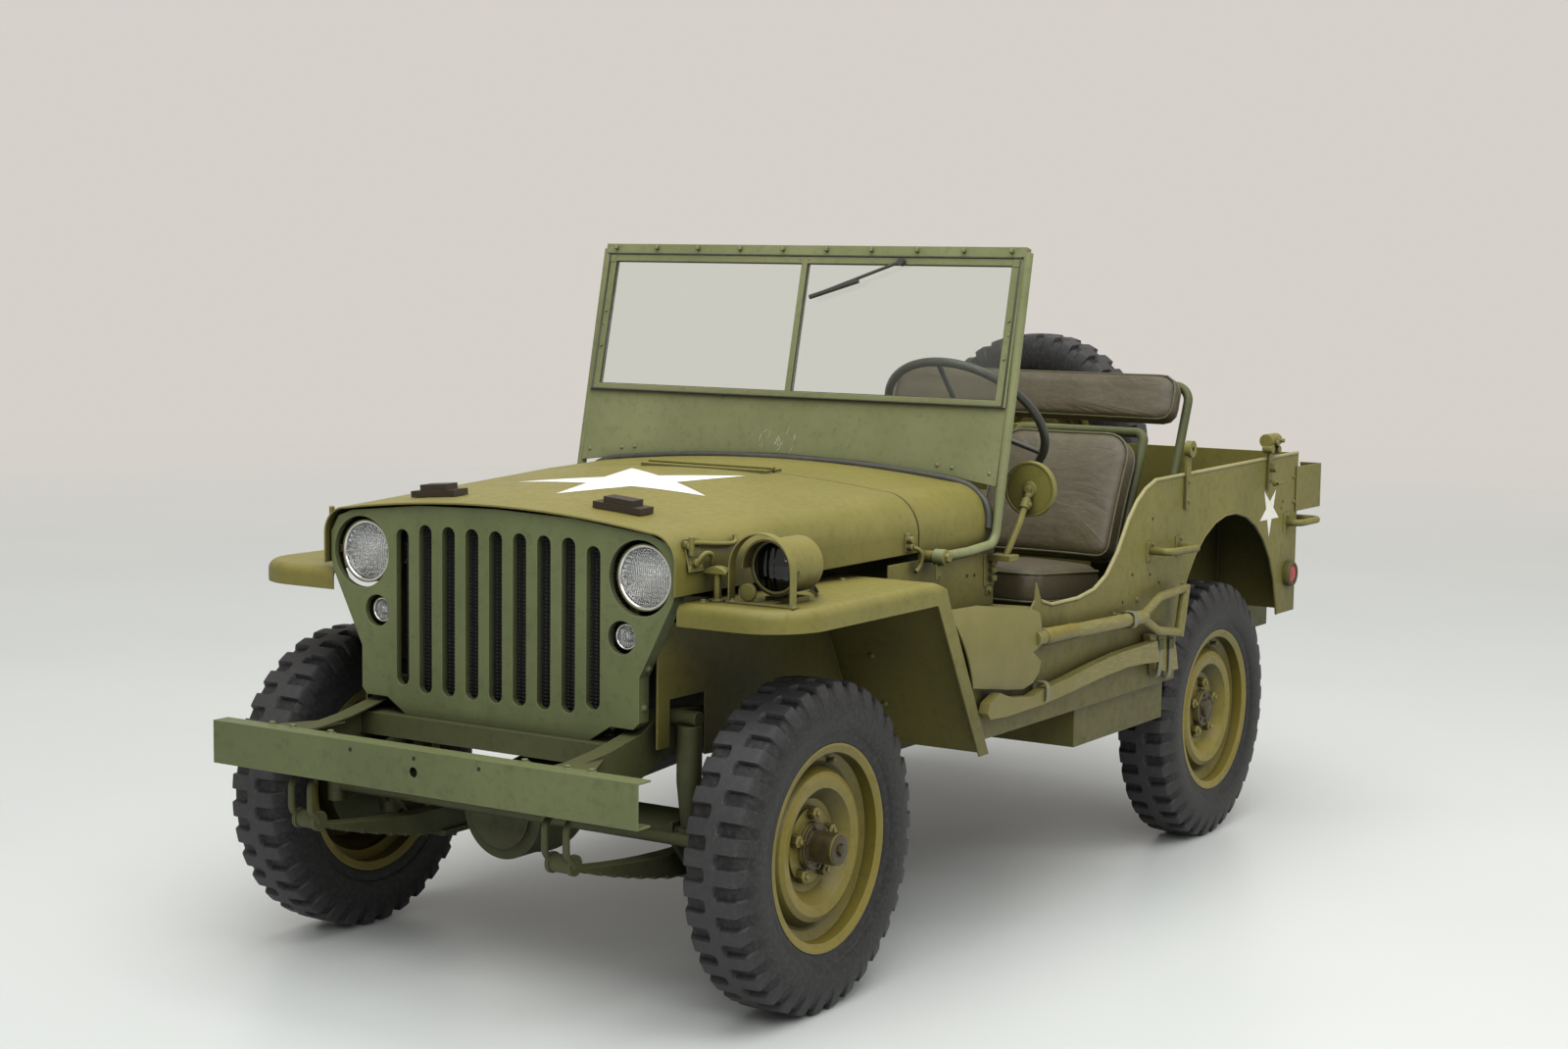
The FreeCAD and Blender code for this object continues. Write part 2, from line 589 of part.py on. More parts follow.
def wheel_profile(front):
    """Half section of rim, disc, drum and hub, as (x, radius) points, x outwards."""
    lip, bead, sheet, half = s.rim_lip_radius, s.bead_radius, s.rim_sheet, s.rim_half_width
    drum, well = s.drum_radius, 184
    bore = s.spindle_radius + s.running_gap
    cap = 92 if front else 34
    cap_radius = 34 if front else 46
    return [
        (-half, lip), (-half + 7, lip), (-half + 10, bead), (-30, bead - 2), (-22, well), (22, well),
        (30, bead - 2), (half - 10, bead), (half - 7, lip), (half, lip), (half, lip - sheet),
        (half - 5, bead - sheet), (34, bead - sheet - 2), (25, well - sheet), (20, well - sheet - 6),
        (44, 158), (50, 146), (46, 124), (14, 98), (11, 82), (20, 80), (20, 52), (30, 50), (30, cap_radius + 5),
        (40, cap_radius + 2), (40, cap_radius) if front else (34, cap_radius), (cap, cap_radius),
        (cap, 0), (32 if front else 24, 0), (32 if front else 24, bore), (-s.drum_back, bore),
        (-s.drum_back, drum), (0, drum), (5, 98), (38, 120), (42, 142), (38, 152),
        (8, well - sheet - 8), (-8, well - sheet), (-25, well - sheet), (-34, bead - sheet - 2),
        (-half + 5, bead - sheet), (-half, lip - sheet),
    ]


def wheel_shape(front):
    shape = turned(wheel_profile(front))
    # five wheel nuts
    nuts = []
    for step in range(5):
        angle = math.radians(72 * step + 18)
        y, z = s.stud_circle * math.cos(angle), s.stud_circle * math.sin(angle)
        nuts.append(rod((12, y, z), (34, y, z), s.stud_radius + 3))
    return fused([shape] + nuts)


def tyre_profile():
    """Half section of the carcass, as (x, radius) points."""
    bead, lip, outer = s.bead_radius, s.rim_lip_radius, s.axle_height - s.lug_depth
    wall, tread, half = s.tyre_width / 2, s.tread_width / 2, s.rim_half_width
    seat = half - 10
    side = [(seat, bead), (half - 7, lip + s.seat_gap), (half, lip + s.seat_gap), (wall - 3, lip + 30),
            (wall, lip + 62), (wall - 4, lip + 92), (tread, outer - 4), (tread * 0.55, outer)]
    return side + [(-x, r) for x, r in reversed(side)]


CORNERS = (
    # name, side (+1 left), y of the axle, front
    ("front_left", 1, 0, True),
    ("front_right", -1, 0, True),
    ("rear_left", 1, 1, False),
    ("rear_right", -1, 1, False),
)


def make_wheels():
    tyre_base = tyre_plain()
    for name, side, at_rear, front in CORNERS:
        turn = Rotation(Z_AXIS, 0 if side > 0 else 180)
        y = at_rear * s.wheelbase
        place = {"x": side * s.half_track, "y": y, "z": s.axle_height, "turn": turn}
        shaped("wheel_" + name, wheel_shape(front), **place)
        shaped("tyre_" + name, tyre_base, **place)


def tyre_plain():
    """The tyre out to its lugs' tips."""
    bead, lip, outer = s.bead_radius, s.rim_lip_radius, s.axle_height
    wall, tread, half = s.tyre_width / 2, s.tread_width / 2, s.rim_half_width
    seat = half - 10
    side = [(seat, bead), (half - 7, lip + s.seat_gap), (half, lip + s.seat_gap), (wall - 3, lip + 30),
            (wall, lip + 62), (wall - 4, lip + 92), (tread + 2, outer - 12), (tread - 4, outer)]
    return turned(side + [(-x, r) for x, r in reversed(side)])


def make_spare():
    place = {"x": s.spare_x, "y": s.spare_y, "z": s.spare_z, "turn": Rotation(Z_AXIS, 90)}
    lip, bead, sheet, half = s.rim_lip_radius, s.bead_radius, s.rim_sheet, s.rim_half_width
    well = 184
    section = [
        (-half, lip), (-half + 7, lip), (-half + 10, bead), (-30, bead - 2), (-22, well), (22, well),
        (30, bead - 2), (half - 10, bead), (half - 7, lip), (half, lip), (half, lip - sheet),
        (half - 5, bead - sheet), (34, bead - sheet - 2), (25, well - sheet), (20, well - sheet - 6),
        (44, 158), (50, 146), (46, 124), (14, 98), (11, 82), (11, 40), (5, 40), (5, 98),
        (38, 120), (42, 142), (38, 152), (8, well - sheet - 8), (-8, well - sheet), (-25, well - sheet),
        (-34, bead - sheet - 2), (-half + 5, bead - sheet), (-half, lip - sheet)]
    shaped("spare_wheel", turned(section), **place)
    shaped("spare_tyre", tyre_plain(), **place)


def knuckle(side):
    """Steering knuckle: a cup over the axle's ball, kingpin caps, steering arm, brake
    backing plate and spindle."""
    x, z, ball = s.kingpin_x, s.axle_height, s.ball_radius + 1
    plate = plate_outer_x()
    hollow = Part.makeSphere(ball, Vector(x, 0, z))
    cup = Part.makeSphere(ball + 10, Vector(x, 0, z)).common(box(x - 14, x + 90, -90, 90, z - 90, z + 90))
    face = rod((x + 30, 0, z), (plate, 0, z), 50)
    backing = rod((plate - 8, 0, z), (plate, 0, z), s.drum_radius + 8)
    caps = [rod((x, 0, z + dz0), (x, 0, z + dz1), 24) for dz0, dz1 in ((ball - 6, 74), (-74, 6 - ball))]
    eye_x, eye_y, eye_top = s.tie_rod_x, s.tie_rod_y, s.tie_rod_z - 16 - s.seat_gap
    arm = plan_profile([(x - 12, -40), (x + 24, -40), (eye_x + 16, eye_y), (eye_x - 16, eye_y)],
                       eye_top - 18, eye_top)
    eye = rod((eye_x, eye_y, eye_top - 20), (eye_x, eye_y, eye_top), 20)
    body = fused([cup, face, backing, arm, eye] + caps).cut(hollow)
    spindle = rod((x + ball + 1, 0, z), (s.half_track + 28, 0, z), s.spindle_radius)
    shape = fused([body, spindle])
    return shape if side > 0 else mirrored(shape)


def make_steering():
    shaped("knuckle_left", knuckle(1))
    shaped("knuckle_right", knuckle(-1))
    x, y, z, r = s.tie_rod_x, s.tie_rod_y, s.tie_rod_z, s.tie_rod_radius
    ends = [rod((side * x, y, z - 16), (side * x, y, z + 20), 20) for side in (1, -1)]
    shaped("tie_rod", fused([rod((-x, y, z), (x, y, z), r)] + ends))

    # column and box: one rake, from the box on the left rail up to the wheel's hub
    rake = math.radians(s.steering_rake)
    down = Vector(0, -math.sin(rake), -math.cos(rake))
    hub = Vector(s.steering_wheel_x, s.steering_wheel_y, s.steering_wheel_z)
    start, end = hub + down * (38 + s.seat_gap), hub + down * 880
    column = Part.makeCylinder(24, (end - start).Length, start, down)
    gear = box(s.rail_outer_x - 56, s.rail_outer_x + 24, end.y - 60, end.y + 50, end.z - 40, end.z + 50)
    flange = box(s.rail_outer_x + s.seat_gap, s.rail_outer_x + 12, end.y - 50, end.y + 40,
                 rail_low(end.y) + 30, end.z)
    shaped("steering_column", fused([column, gear, flange]))

    rim = Part.makeTorus(s.steering_wheel_radius - 11, 11, hub, down)
    boss = Part.makeCylinder(34, 50, hub - down * 12, down)
    spokes = []
    across = X_AXIS
    up = down.cross(across)
    for angle in (90, 210, 330):
        a = math.radians(angle)
        reach = across * math.cos(a) + up * math.sin(a)
        spokes.append(Part.makeCylinder(7, s.steering_wheel_radius - 12, hub + down * 8, reach - down * 0.02))
    shaped("steering_wheel", fused([rim, boss] + spokes))


# ---------------------------------------------------------------- front end

def grille_outline(inset):
    """Front view of the grille: crowned top, shoulders round the lamps, flanks that
    lean in to the foot, and a notch over each frame horn."""
    half, foot = s.grille_half - inset, s.grille_foot - inset
    low, top = 570 + inset, s.hood_front_top - s.body_sheet - 6 - inset
    right = [(0, low), (252 - inset, low), (305 - inset, 604 + inset), (foot - 14, 604 + inset),
             (foot, 618 + inset), (foot, 712), (half - 8, 872), (half, 900), (half, top - 78),
             (half - 22, top - 42), (half - 62, top - 27), (half * 0.45, top - 6), (0, top)]
    left = [(-x, z) for x, z in reversed(right[1:-1])]
    return right + left


def slot_shape(x, low, high, width, y0, y1):
    """A slot with round ends, as a solid between two y planes."""
    r = width / 2
    slab = box(x - r, x + r, y0, y1, low + r, high - r)
    ends = [rod((x, y0, z), (x, y1, z), r) for z in (low + r, high - r)]
    return slab.fuse(ends[0]).fuse(ends[1])


def make_grille():
    front, depth, sheet = -s.grille_front, s.grille_depth, s.grille_sheet
    shell = front_profile(grille_outline(0), front, front + depth)
    shell = shell.cut(front_profile(grille_outline(sheet), front + sheet, front + depth + 1))
    openings, rings = [], []
    count = int(s.slot_count)
    for index in range(count):
        step = index - (count - 1) / 2
        x = step * s.slot_pitch
        extra = 0 if abs(step) > (count - 2) / 2 else 13
        low, high = s.slot_low - extra, s.slot_high + extra
        rings.append(slot_shape(x, low - sheet, high + sheet, s.slot_width + 2 * sheet,
                                front, front + 16))
        openings.append(slot_shape(x, low, high, s.slot_width, front - 1, front + 17))
    for side in (1, -1):
        for x, z, radius in ((s.headlamp_x, s.headlamp_z, s.headlamp_opening),
                             (s.marker_x, s.marker_z, s.marker_opening)):
            rings_depth = 14
            ring = rod((side * x, front, z), (side * x, front + rings_depth, z), radius + sheet)
            rings.append(ring.common(front_profile(grille_outline(0), front, front + depth)))
            openings.append(rod((side * x, front - 1, z), (side * x, front + rings_depth + 1, z), radius))
    for side in (1, -1):
        # room behind the face for the lamp's shell
        x, z = side * s.headlamp_x, s.headlamp_z
        openings.append(rod((x, front + 20, z), (x, front + depth + 1, z), s.headlamp_radius + 1))
    shape = shell.multiFuse(rings)
    shape = shape.cut(Part.makeCompound(openings))
    return shaped("grille", shape.removeSplitter())


def make_radiator():
    front = -s.grille_front + 42
    core = box(-284, 284, front, front + 56, 570, 984)
    tank = box(-250, 250, front + 4, front + 50, 984, 1004)
    shroud = box(-266, 266, front + 56, front + 70, 610, 960)
    return shaped("radiator", fused([core, tank, shroud]))


def make_lamps():
    """Headlamps and marker lamps behind the grille, tail lamps, side reflectors and
    the blackout lamp on the left fender."""
    solids = list(blackout_lamp())
    face, wall = -s.grille_front, 3
    for side in (1, -1):
        parts, hollows = [], []
        for x, z, r, front, back, well in (
                (side * s.headlamp_x, s.headlamp_z, s.headlamp_radius, 16, 66, 44),
                (side * s.marker_x, s.marker_z, s.marker_opening - 7, 18, 40, 30)):
            parts.append(rod((x, face + front, z), (x, face + back, z), r))
            hollows.append(rod((x, face + front - 1, z), (x, face + well, z), r - wall))
        x, z = side * s.headlamp_x, s.headlamp_z
        parts.append(Part.makeCone(s.headlamp_radius, 42, 44, Vector(x, face + 66, z), Y_AXIS))
        # brackets: lamp to the grille's turned-back edge, and down to the marker lamp
        edge = s.grille_half - s.grille_sheet - 0.4
        x0, x1 = sorted((side * (s.headlamp_x + 50), side * edge))
        arm = box(x0, x1, face + 22, face + 30, 912, 928)
        link = box(side * 342 - 9, side * 342 + 9, face + 30, face + 38, s.marker_z + 20, s.headlamp_z - 40)
        solids.append(fused(parts + [arm, link]).cut(Part.makeCompound(hollows)))
        x, z, rear = side * 560, 720, s.body_rear_y + s.body_sheet + s.seat_gap
        solids.append(rod((x, rear, z), (x, rear + 42, z), 38))
        edge, y = side * (s.body_half + s.seat_gap), s.body_rear_y - 55
        solids.append(rod((edge, y, 690), (edge + side * 16, y, 690), 36))
    return shaped("lamps", solids)


def make_lamp_lenses():
    """Domed headlamp lenses and flat marker lenses, just inside their shells."""
    solids = []
    face, gap = -s.grille_front, s.seat_gap
    for side in (1, -1):
        x, z, r = side * s.headlamp_x, s.headlamp_z, s.headlamp_radius - 3 - gap
        dome_radius = (r * r + 20 * 20) / 40
        dome = sphere_at((x, face + 4 + dome_radius, z), dome_radius)
        solids.append(dome.common(rod((x, face + 2, z), (x, face + 43, z), r)))
        x, z, r = side * s.marker_x, s.marker_z, s.marker_opening - 10 - gap
        solids.append(rod((x, face + 17, z), (x, face + 29, z), r))
    return shaped("lamp_lenses", solids)


def blackout_lamp():
    """Drum lamp on the left fender, under its hood, inside a hoop guard, and the post
    beside it that the hood's side rests against."""
    x, y, z = s.blackout_x, -92, 950
    top = s.fender_top
    drum = rod((x, y - 30, z), (x, y + 62, z), 58)
    visor = rod((x, y - 66, z), (x, y - 28, z), 60).cut(rod((x, y - 67, z), (x, y - 27, z), 56))
    visor = visor.cut(box(x - 70, x + 70, y - 70, y - 31, z - 70, z - 4))
    stem = rod((x, y + 16, z - 50), (x, y + 16, top + 8), 11)
    base = box(x - 34, x + 34, y - 14, y + 50, top + s.seat_gap, top + 10)
    lamp = fused([drum, visor, stem, base])
    # guard: a hoop of flat strap on a cross strap, and a stay back to the lamp's base
    half, strap, front = 76, 3, y - 90
    low, crown = top + s.seat_gap, top + 148
    hoop = slot_shape(x, low - half, crown, 2 * half, front, front + 22)
    hoop = hoop.cut(slot_shape(x, low - half, crown - strap, 2 * (half - strap), front - 1, front + 23))
    hoop = hoop.common(box(x - half, x + half, front, front + 22, low, crown))
    foot = box(x - half - 6, x + half + 6, front, front + 22, low, low + 4)
    stay = box(x - 12, x + 12, front + 10, y + 10, low, low + 4)
    # post with a round cap, for the hood's side
    post_x, post_y = hood_measure(front)[0] + 33, front + 8
    post = rod((post_x, post_y, low), (post_x, post_y, top + 66), 8)
    cap = sphere_at((post_x, post_y, top + 30), 44).common(box(post_x - 28, post_x + 28, post_y - 12, post_y + 12,
                                                               top + 58, top + 80))
    pad = rod((post_x, post_y, low), (post_x, post_y, low + 5), 16)
    return fused([lamp, hoop, foot, stay]), fused([post, cap, pad])


def fender_slope_y(z):
    """Where the fender's sloping rear panel lies at a height."""
    upper_y, upper_z = s.fender_bend_y + 50, s.fender_top - 58
    return upper_y + (upper_z - z) / (upper_z - s.fender_tip_z) * (s.fender_tip_y - upper_y)


def fender_skin_line(depth):
    """Side view of the fender's skin, or of a line that far under it."""
    bend, top, front = s.fender_bend_y, s.fender_top, s.fender_front_y
    return [(front, top - 10 - depth), (front + 10, top - depth), (bend - depth * 0.25, top - depth),
            (bend + 30 - depth * 0.75, top - 16 - depth * 0.7),
            (bend + 50 - depth * 0.9, top - 58 - depth * 0.3), (s.fender_tip_y - depth * 0.9, s.fender_tip_z)]


def fender_plan(inset):
    """Fender seen from above, round at its outer front corner, as a solid."""
    inner, outer, front = s.apron_x - 1, s.fender_outer_x - inset, s.fender_front_y + inset
    r, back = s.fender_corner - inset, s.fender_tip_y + 10
    z0, z1 = s.fender_tip_z - 90, s.fender_top + 10
    diagonal = r * (1 - math.sqrt(0.5))
    a, b = Vector(outer - r, front, z0), Vector(outer, front + r, z0)
    arc = Part.Arc(a, Vector(outer - diagonal, front + diagonal, z0), b).toShape()
    c, d, e = Vector(outer, back, z0), Vector(inner, back, z0), Vector(inner, front, z0)
    lines = [Part.LineSegment(*ends).toShape() for ends in ((b, c), (c, d), (d, e), (e, a))]
    return Part.Face(Part.Wire([arc] + lines)).extrude(Vector(0, 0, z1 - z0))


def rolled_edges(solid, top):
    """The fender's outer edges at its top, from its front round to the bend."""
    chosen = []
    for edge in solid.Edges:
        ends = [vertex.Point for vertex in edge.Vertexes]
        level = all(abs(point.z - top) < 0.1 for point in ends)
        middle = edge.valueAt((edge.FirstParameter + edge.LastParameter) / 2)
        outside = middle.x > s.fender_outer_x - s.body_sheet - 1 or middle.y < s.fender_front_y + s.fender_corner
        if level and outside and middle.x > s.apron_x + 1:
            chosen.append(edge)
    return chosen


def fender_block(inset, roll):
    """The fender's pressing as a block, inset by a sheet or not, its front and side
    turned down and rolled."""
    depth, lip = inset, s.fender_lip + (1 if inset else 0)
    start = s.fender_front_y - 1
    upper = [(start, s.fender_top - depth)] + fender_skin_line(depth)[2:]
    lower = [(start, s.fender_top - lip)] + fender_skin_line(lip)[2:]
    block = side_profile(upper + lower[::-1], s.apron_x - (1 if inset else 0), s.fender_outer_x + 1)
    block = block.common(fender_plan(inset))
    return block.makeFillet(roll, rolled_edges(block, s.fender_top - inset))


def make_fender(side):
    """Flat-topped front fender: rolled skin, and the inner fender that closes the
    engine bay, with a notch for the frame horn and shock absorber."""
    inner, sheet, top = s.apron_x, s.body_sheet, s.fender_top
    skin = fender_block(0, s.fender_roll).cut(fender_block(sheet, s.fender_roll - sheet))
    grille_side, lamp_back = s.grille_half + s.seat_gap, -126
    nose_cut = box(inner - 1, grille_side, s.fender_front_y - 1, lamp_back, top - s.fender_lip - 1, top + 1)
    front = -s.grille_front + s.grille_depth + s.seat_gap
    apron = side_profile([(front, 560), (-170, 560), (-170, 660), (-40, 660), (-40, 524), (380, 500),
                          (fender_slope_y(500) - 3, 500), (fender_slope_y(top - 60) - 3, top - 60),
                          (s.fender_bend_y, top - 2), (lamp_back, top - 2), (lamp_back, 820), (front, 820)],
                         inner, inner + sheet)
    shape = fused([skin.cut(nose_cut), apron])
    label = "fender_left" if side > 0 else "fender_right"
    return shaped(label, shape if side > 0 else mirrored(shape))


def crowned_section(y, half, top, fall, corner, low):
    """Closed section of the hood or cowl at one y: sides, round corners, crowned top."""
    shoulder = top - fall
    diagonal = corner * (1 - math.sqrt(0.5))
    a, b = Vector(-half, y, low), Vector(-half, y, shoulder - corner)
    c, d = Vector(-half + corner, y, shoulder), Vector(half - corner, y, shoulder)
    e, f = Vector(half, y, shoulder - corner), Vector(half, y, low)
    left = Part.Arc(b, Vector(-half + diagonal, y, shoulder - diagonal), c).toShape()
    crown = Part.Arc(c, Vector(0, y, top), d).toShape()
    right = Part.Arc(d, Vector(half - diagonal, y, shoulder - diagonal), e).toShape()
    return Part.Wire([Part.LineSegment(a, b).toShape(), left, crown, right,
                      Part.LineSegment(e, f).toShape(), Part.LineSegment(f, a).toShape()])


def hood_measure(y):
    """Half width, crown height and corner radius of the hood's outer skin at y."""
    share = (y - s.hood_front_y) / (s.hood_rear_y - s.hood_front_y)
    half = s.hood_front_half + share * (s.hood_rear_half - s.hood_front_half)
    top = s.hood_front_top + share * (s.hood_rear_top - s.hood_front_top)
    corner = s.hood_corner + share * (s.hood_rear_corner - s.hood_corner)
    return half, top, corner


def crowned_loft(y0, y1, inset, low0, low1):
    sections = []
    for y, low in ((y0, low0), (y1, low1)):
        half, top, corner = hood_measure(y)
        sections.append(crowned_section(y, half - inset, top - inset, s.hood_crown,
                                        corner - inset, low))
    return Part.makeLoft(sections, True, True)


HINGE_HALF = 180
HINGE_RADIUS = 5


def hinge_axis():
    """The hood's hinge line, just above the crown between hood and cowl: y and z."""
    return s.hood_rear_y + s.panel_gap / 2, s.hood_rear_top + HINGE_RADIUS


def make_hood():
    y0, y1 = s.hood_front_y, s.hood_rear_y
    outer = crowned_loft(y0, y1, 0, s.hood_side_low, s.hood_side_low + 24)
    inner = crowned_loft(y0 - 1, y1 + 1, s.body_sheet, s.hood_side_low - 60, s.hood_side_low - 60)
    axis_y, axis_z = hinge_axis()
    near = axis_y - HINGE_RADIUS - s.seat_gap
    leaf = box(-HINGE_HALF, HINGE_HALF, near - 30, near, s.hood_rear_top - 7, axis_z - 2)
    return shaped("hood", fused([outer.cut(inner), leaf]))


def make_hood_blocks():
    """Wooden rests for the folded windshield, tilted to lie on the hood's crown."""
    share = (s.block_y - s.hood_front_y) / (s.hood_rear_y - s.hood_front_y)
    top = s.hood_front_top + share * (s.hood_rear_top - s.hood_front_top)
    flat = s.hood_front_half + share * (s.hood_rear_half - s.hood_front_half) - s.hood_corner
    fall = s.hood_crown * (s.block_x / flat) ** 2
    tilt = math.degrees(math.atan(2 * s.hood_crown * s.block_x / flat ** 2))
    rise = math.degrees(math.atan((s.hood_rear_top - s.hood_front_top) / (s.hood_rear_y - s.hood_front_y)))
    block = fused([box(-62, 62, -24, 24, 0, 14), box(-38, 38, -19, 19, 13, 27)])
    solids = []
    for side in (1, -1):
        copy = block.copy()
        copy.rotate(Vector(0, 0, 0), X_AXIS, rise)
        copy.rotate(Vector(0, 0, 0), Y_AXIS, side * tilt)
        copy.translate(Vector(side * s.block_x, s.block_y, top - fall + 2 * s.seat_gap))
        solids.append(copy)
    return shaped("hood_blocks", solids)


# ---------------------------------------------------------------- body

def make_cowl():
    """Cowl: crowned top and sides from the hood to the windshield, with the firewall
    in front and the instrument panel behind."""
    y0, y1, sheet = s.hood_rear_y + s.panel_gap, s.cowl_rear_y, s.body_sheet
    half0, top0, corner0 = hood_measure(y0)
    half1, top1, corner1 = s.cowl_rear_half, s.hood_rear_top + 4, s.hood_rear_corner
    low = s.door_sill_z

    def block(inset, grow):
        a = crowned_section(y0 - grow, half0 - inset, top0 - inset, s.hood_crown, corner0 - inset, low - grow)
        b = crowned_section(y1 + grow, half1 - inset, top1 - inset, s.hood_crown, corner1 - inset, low - grow)
        return Part.makeLoft([a, b], True, True)

    skin = block(0, 0).cut(block(sheet, 1))
    core = block(sheet / 2, 0)
    firewall = core.common(box(-700, 700, y0 + 10, y0 + 10 + sheet, low + 1, 1200))
    dash_low = s.hood_rear_top - 148
    dash = core.common(box(-700, 700, y1 - 30, y1 - 30 + sheet, dash_low, 1200))
    axis_y, axis_z = hinge_axis()
    barrel = rod((-HINGE_HALF, axis_y, axis_z), (HINGE_HALF, axis_y, axis_z), HINGE_RADIUS)
    leaf = box(-HINGE_HALF, HINGE_HALF, axis_y, y0 + 30, s.hood_rear_top - 7, axis_z - 2)
    leaf = leaf.cut(box(-HINGE_HALF, HINGE_HALF, axis_y - 1, y0, s.hood_rear_top - 8, axis_z - 4))
    parts = [skin, firewall, dash, barrel, leaf]
    pivot_y, pivot_z = s.windshield_pivot_y, s.windshield_pivot_z
    for side in (1, -1):
        # the pivots that carry the windshield's side tubes
        pin_end = s.windshield_half - s.windshield_tube - s.seat_gap
        parts.append(rod((side * (half0 - 3), pivot_y, pivot_z), (side * pin_end, pivot_y, pivot_z), 14))
        # the side runs forward under the hood to the fender's sloping panel
        x0, x1 = sorted((side * (half0 - sheet), side * half0))
        upper = s.fender_top - 70
        parts.append(side_profile([(fender_slope_y(low) + 3, low), (y0 + 4, low), (y0 + 4, s.fender_top + 20),
                                   (s.fender_bend_y + 62, s.fender_top + 20),
                                   (fender_slope_y(upper) + 3, upper)], x0, x1))
    return shaped("cowl", fused(parts))


def panel_front_y(z):
    """The body side's sloping front edge, just behind the fender's rear panel."""
    return fender_slope_y(z) + 3


def toe_y(z):
    """The toe board's front."""
    return panel_front_y(z) + s.toe_setback


def body_side_outline():
    """Side view of the body side, as a closed outline of (y, z) points: cowl edge,
    door opening, rear quarter, wheel arch and sill."""
    arch_y, arch_z, r = s.wheelbase, s.arch_top - s.arch_radius, s.arch_radius
    door = [(s.cowl_rear_y, s.door_sill_z + 60), (s.cowl_rear_y + 26, s.door_sill_z + 14),
            (s.cowl_rear_y + 80, s.door_sill_z), (1090, s.door_sill_z), (1180, s.door_sill_z + 12),
            (1248, s.door_sill_z + 40), (1310, s.door_sill_z + 92), (1372, s.door_sill_z + 170),
            (1420, s.door_sill_z + 212), (1470, s.body_top - 18), (1530, s.body_top)]
    tail = [(s.body_rear_y, s.body_tail_top), (s.body_rear_y, s.body_tail_low),
            (arch_y + r, s.body_tail_low)]
    arch = [(arch_y + r * math.cos(math.radians(a)), arch_z + r * math.sin(math.radians(a)))
            for a in range(12, 181, 12)]
    sill = [(arch_y - r, s.body_low), (panel_front_y(s.body_low), s.body_low),
            (panel_front_y(s.door_sill_z - 1), s.door_sill_z - 1), (s.cowl_rear_y - 30, s.door_sill_z - 1),
            (s.cowl_rear_y - 8, s.door_sill_z + 20)]
    return door + tail + arch + sill


def make_body_sides():
    """Body sides from the cowl to the rear corner, each with the flat sheet beside the
    cowl that widens the body to its full width."""
    half, sheet = s.body_half, s.body_sheet
    for side, label in ((1, "body_side_left"), (-1, "body_side_right")):
        panel = side_profile(body_side_outline(), half - sheet, half)
        y0, y1 = panel_front_y(s.door_sill_z - 1), s.cowl_rear_y + 30
        shelf = plan_profile([(hood_measure(s.hood_rear_y)[0] - 30, y0), (half - sheet, y0),
                              (half - sheet, y1), (s.cowl_rear_half - 30, s.cowl_rear_y)],
                             s.door_sill_z - sheet - s.seat_gap, s.door_sill_z - s.seat_gap)
        shape = fused([panel, shelf])
        shaped(label, shape if side > 0 else mirrored(shape))


def make_body_tub():
    """Front floor with its toe board, gearbox tunnel and the fuel tank's well."""
    sheet = s.body_sheet
    inner = s.body_half - sheet
    low, top = s.body_low, s.door_sill_z - 1 - sheet - s.seat_gap
    tunnel_back = s.gearbox_member_y - 106
    floor = box(-inner, inner, toe_y(low), s.floor_step_y, low, low + sheet)
    toe = side_profile([(toe_y(low), low), (toe_y(low) + 6, low), (toe_y(top) + 6, top), (toe_y(top), top)],
                       -inner, inner)
    front = toe_y(s.tunnel_top)
    tunnel = side_profile([(toe_y(low), low), (tunnel_back, low), (tunnel_back, s.tunnel_top),
                           (front, s.tunnel_top)], -s.tunnel_half, s.tunnel_half)
    hump_x = s.diff_offset - 124
    hump = box(hump_x, 0, FLANGE_FRONT - 4, tunnel_back, low, low + 84)
    well = box(-s.tunnel_half + sheet, s.tunnel_half - sheet, 400, tunnel_back - sheet, low - 1,
               s.tunnel_top - sheet)
    hump_well = box(hump_x + sheet, 0, FLANGE_FRONT - 4 + sheet, tunnel_back - sheet, low - 1, low + 84 - sheet)
    sump_x0, sump_x1, sump_back = 392, s.body_half - 22, s.floor_step_y - 10
    sump = box(sump_x0, sump_x1, 1130, sump_back, s.sump_low, low + 1)
    sump_well = box(sump_x0 + sheet, sump_x1 - sheet, 1130 + sheet, sump_back - sheet,
                    s.sump_low + sheet, low + sheet + 1)
    rake = math.radians(s.steering_rake)
    hub = Vector(s.steering_wheel_x, s.steering_wheel_y, s.steering_wheel_z)
    down = Vector(0, -math.sin(rake), -math.cos(rake))
    column_hole = Part.makeCylinder(24 + s.panel_gap, 300, hub + down * 700, down)
    floor = fused([floor, toe, tunnel, hump, sump]).cut(well).cut(hump_well).cut(sump_well).cut(column_hole)
    return shaped("body_tub", floor)


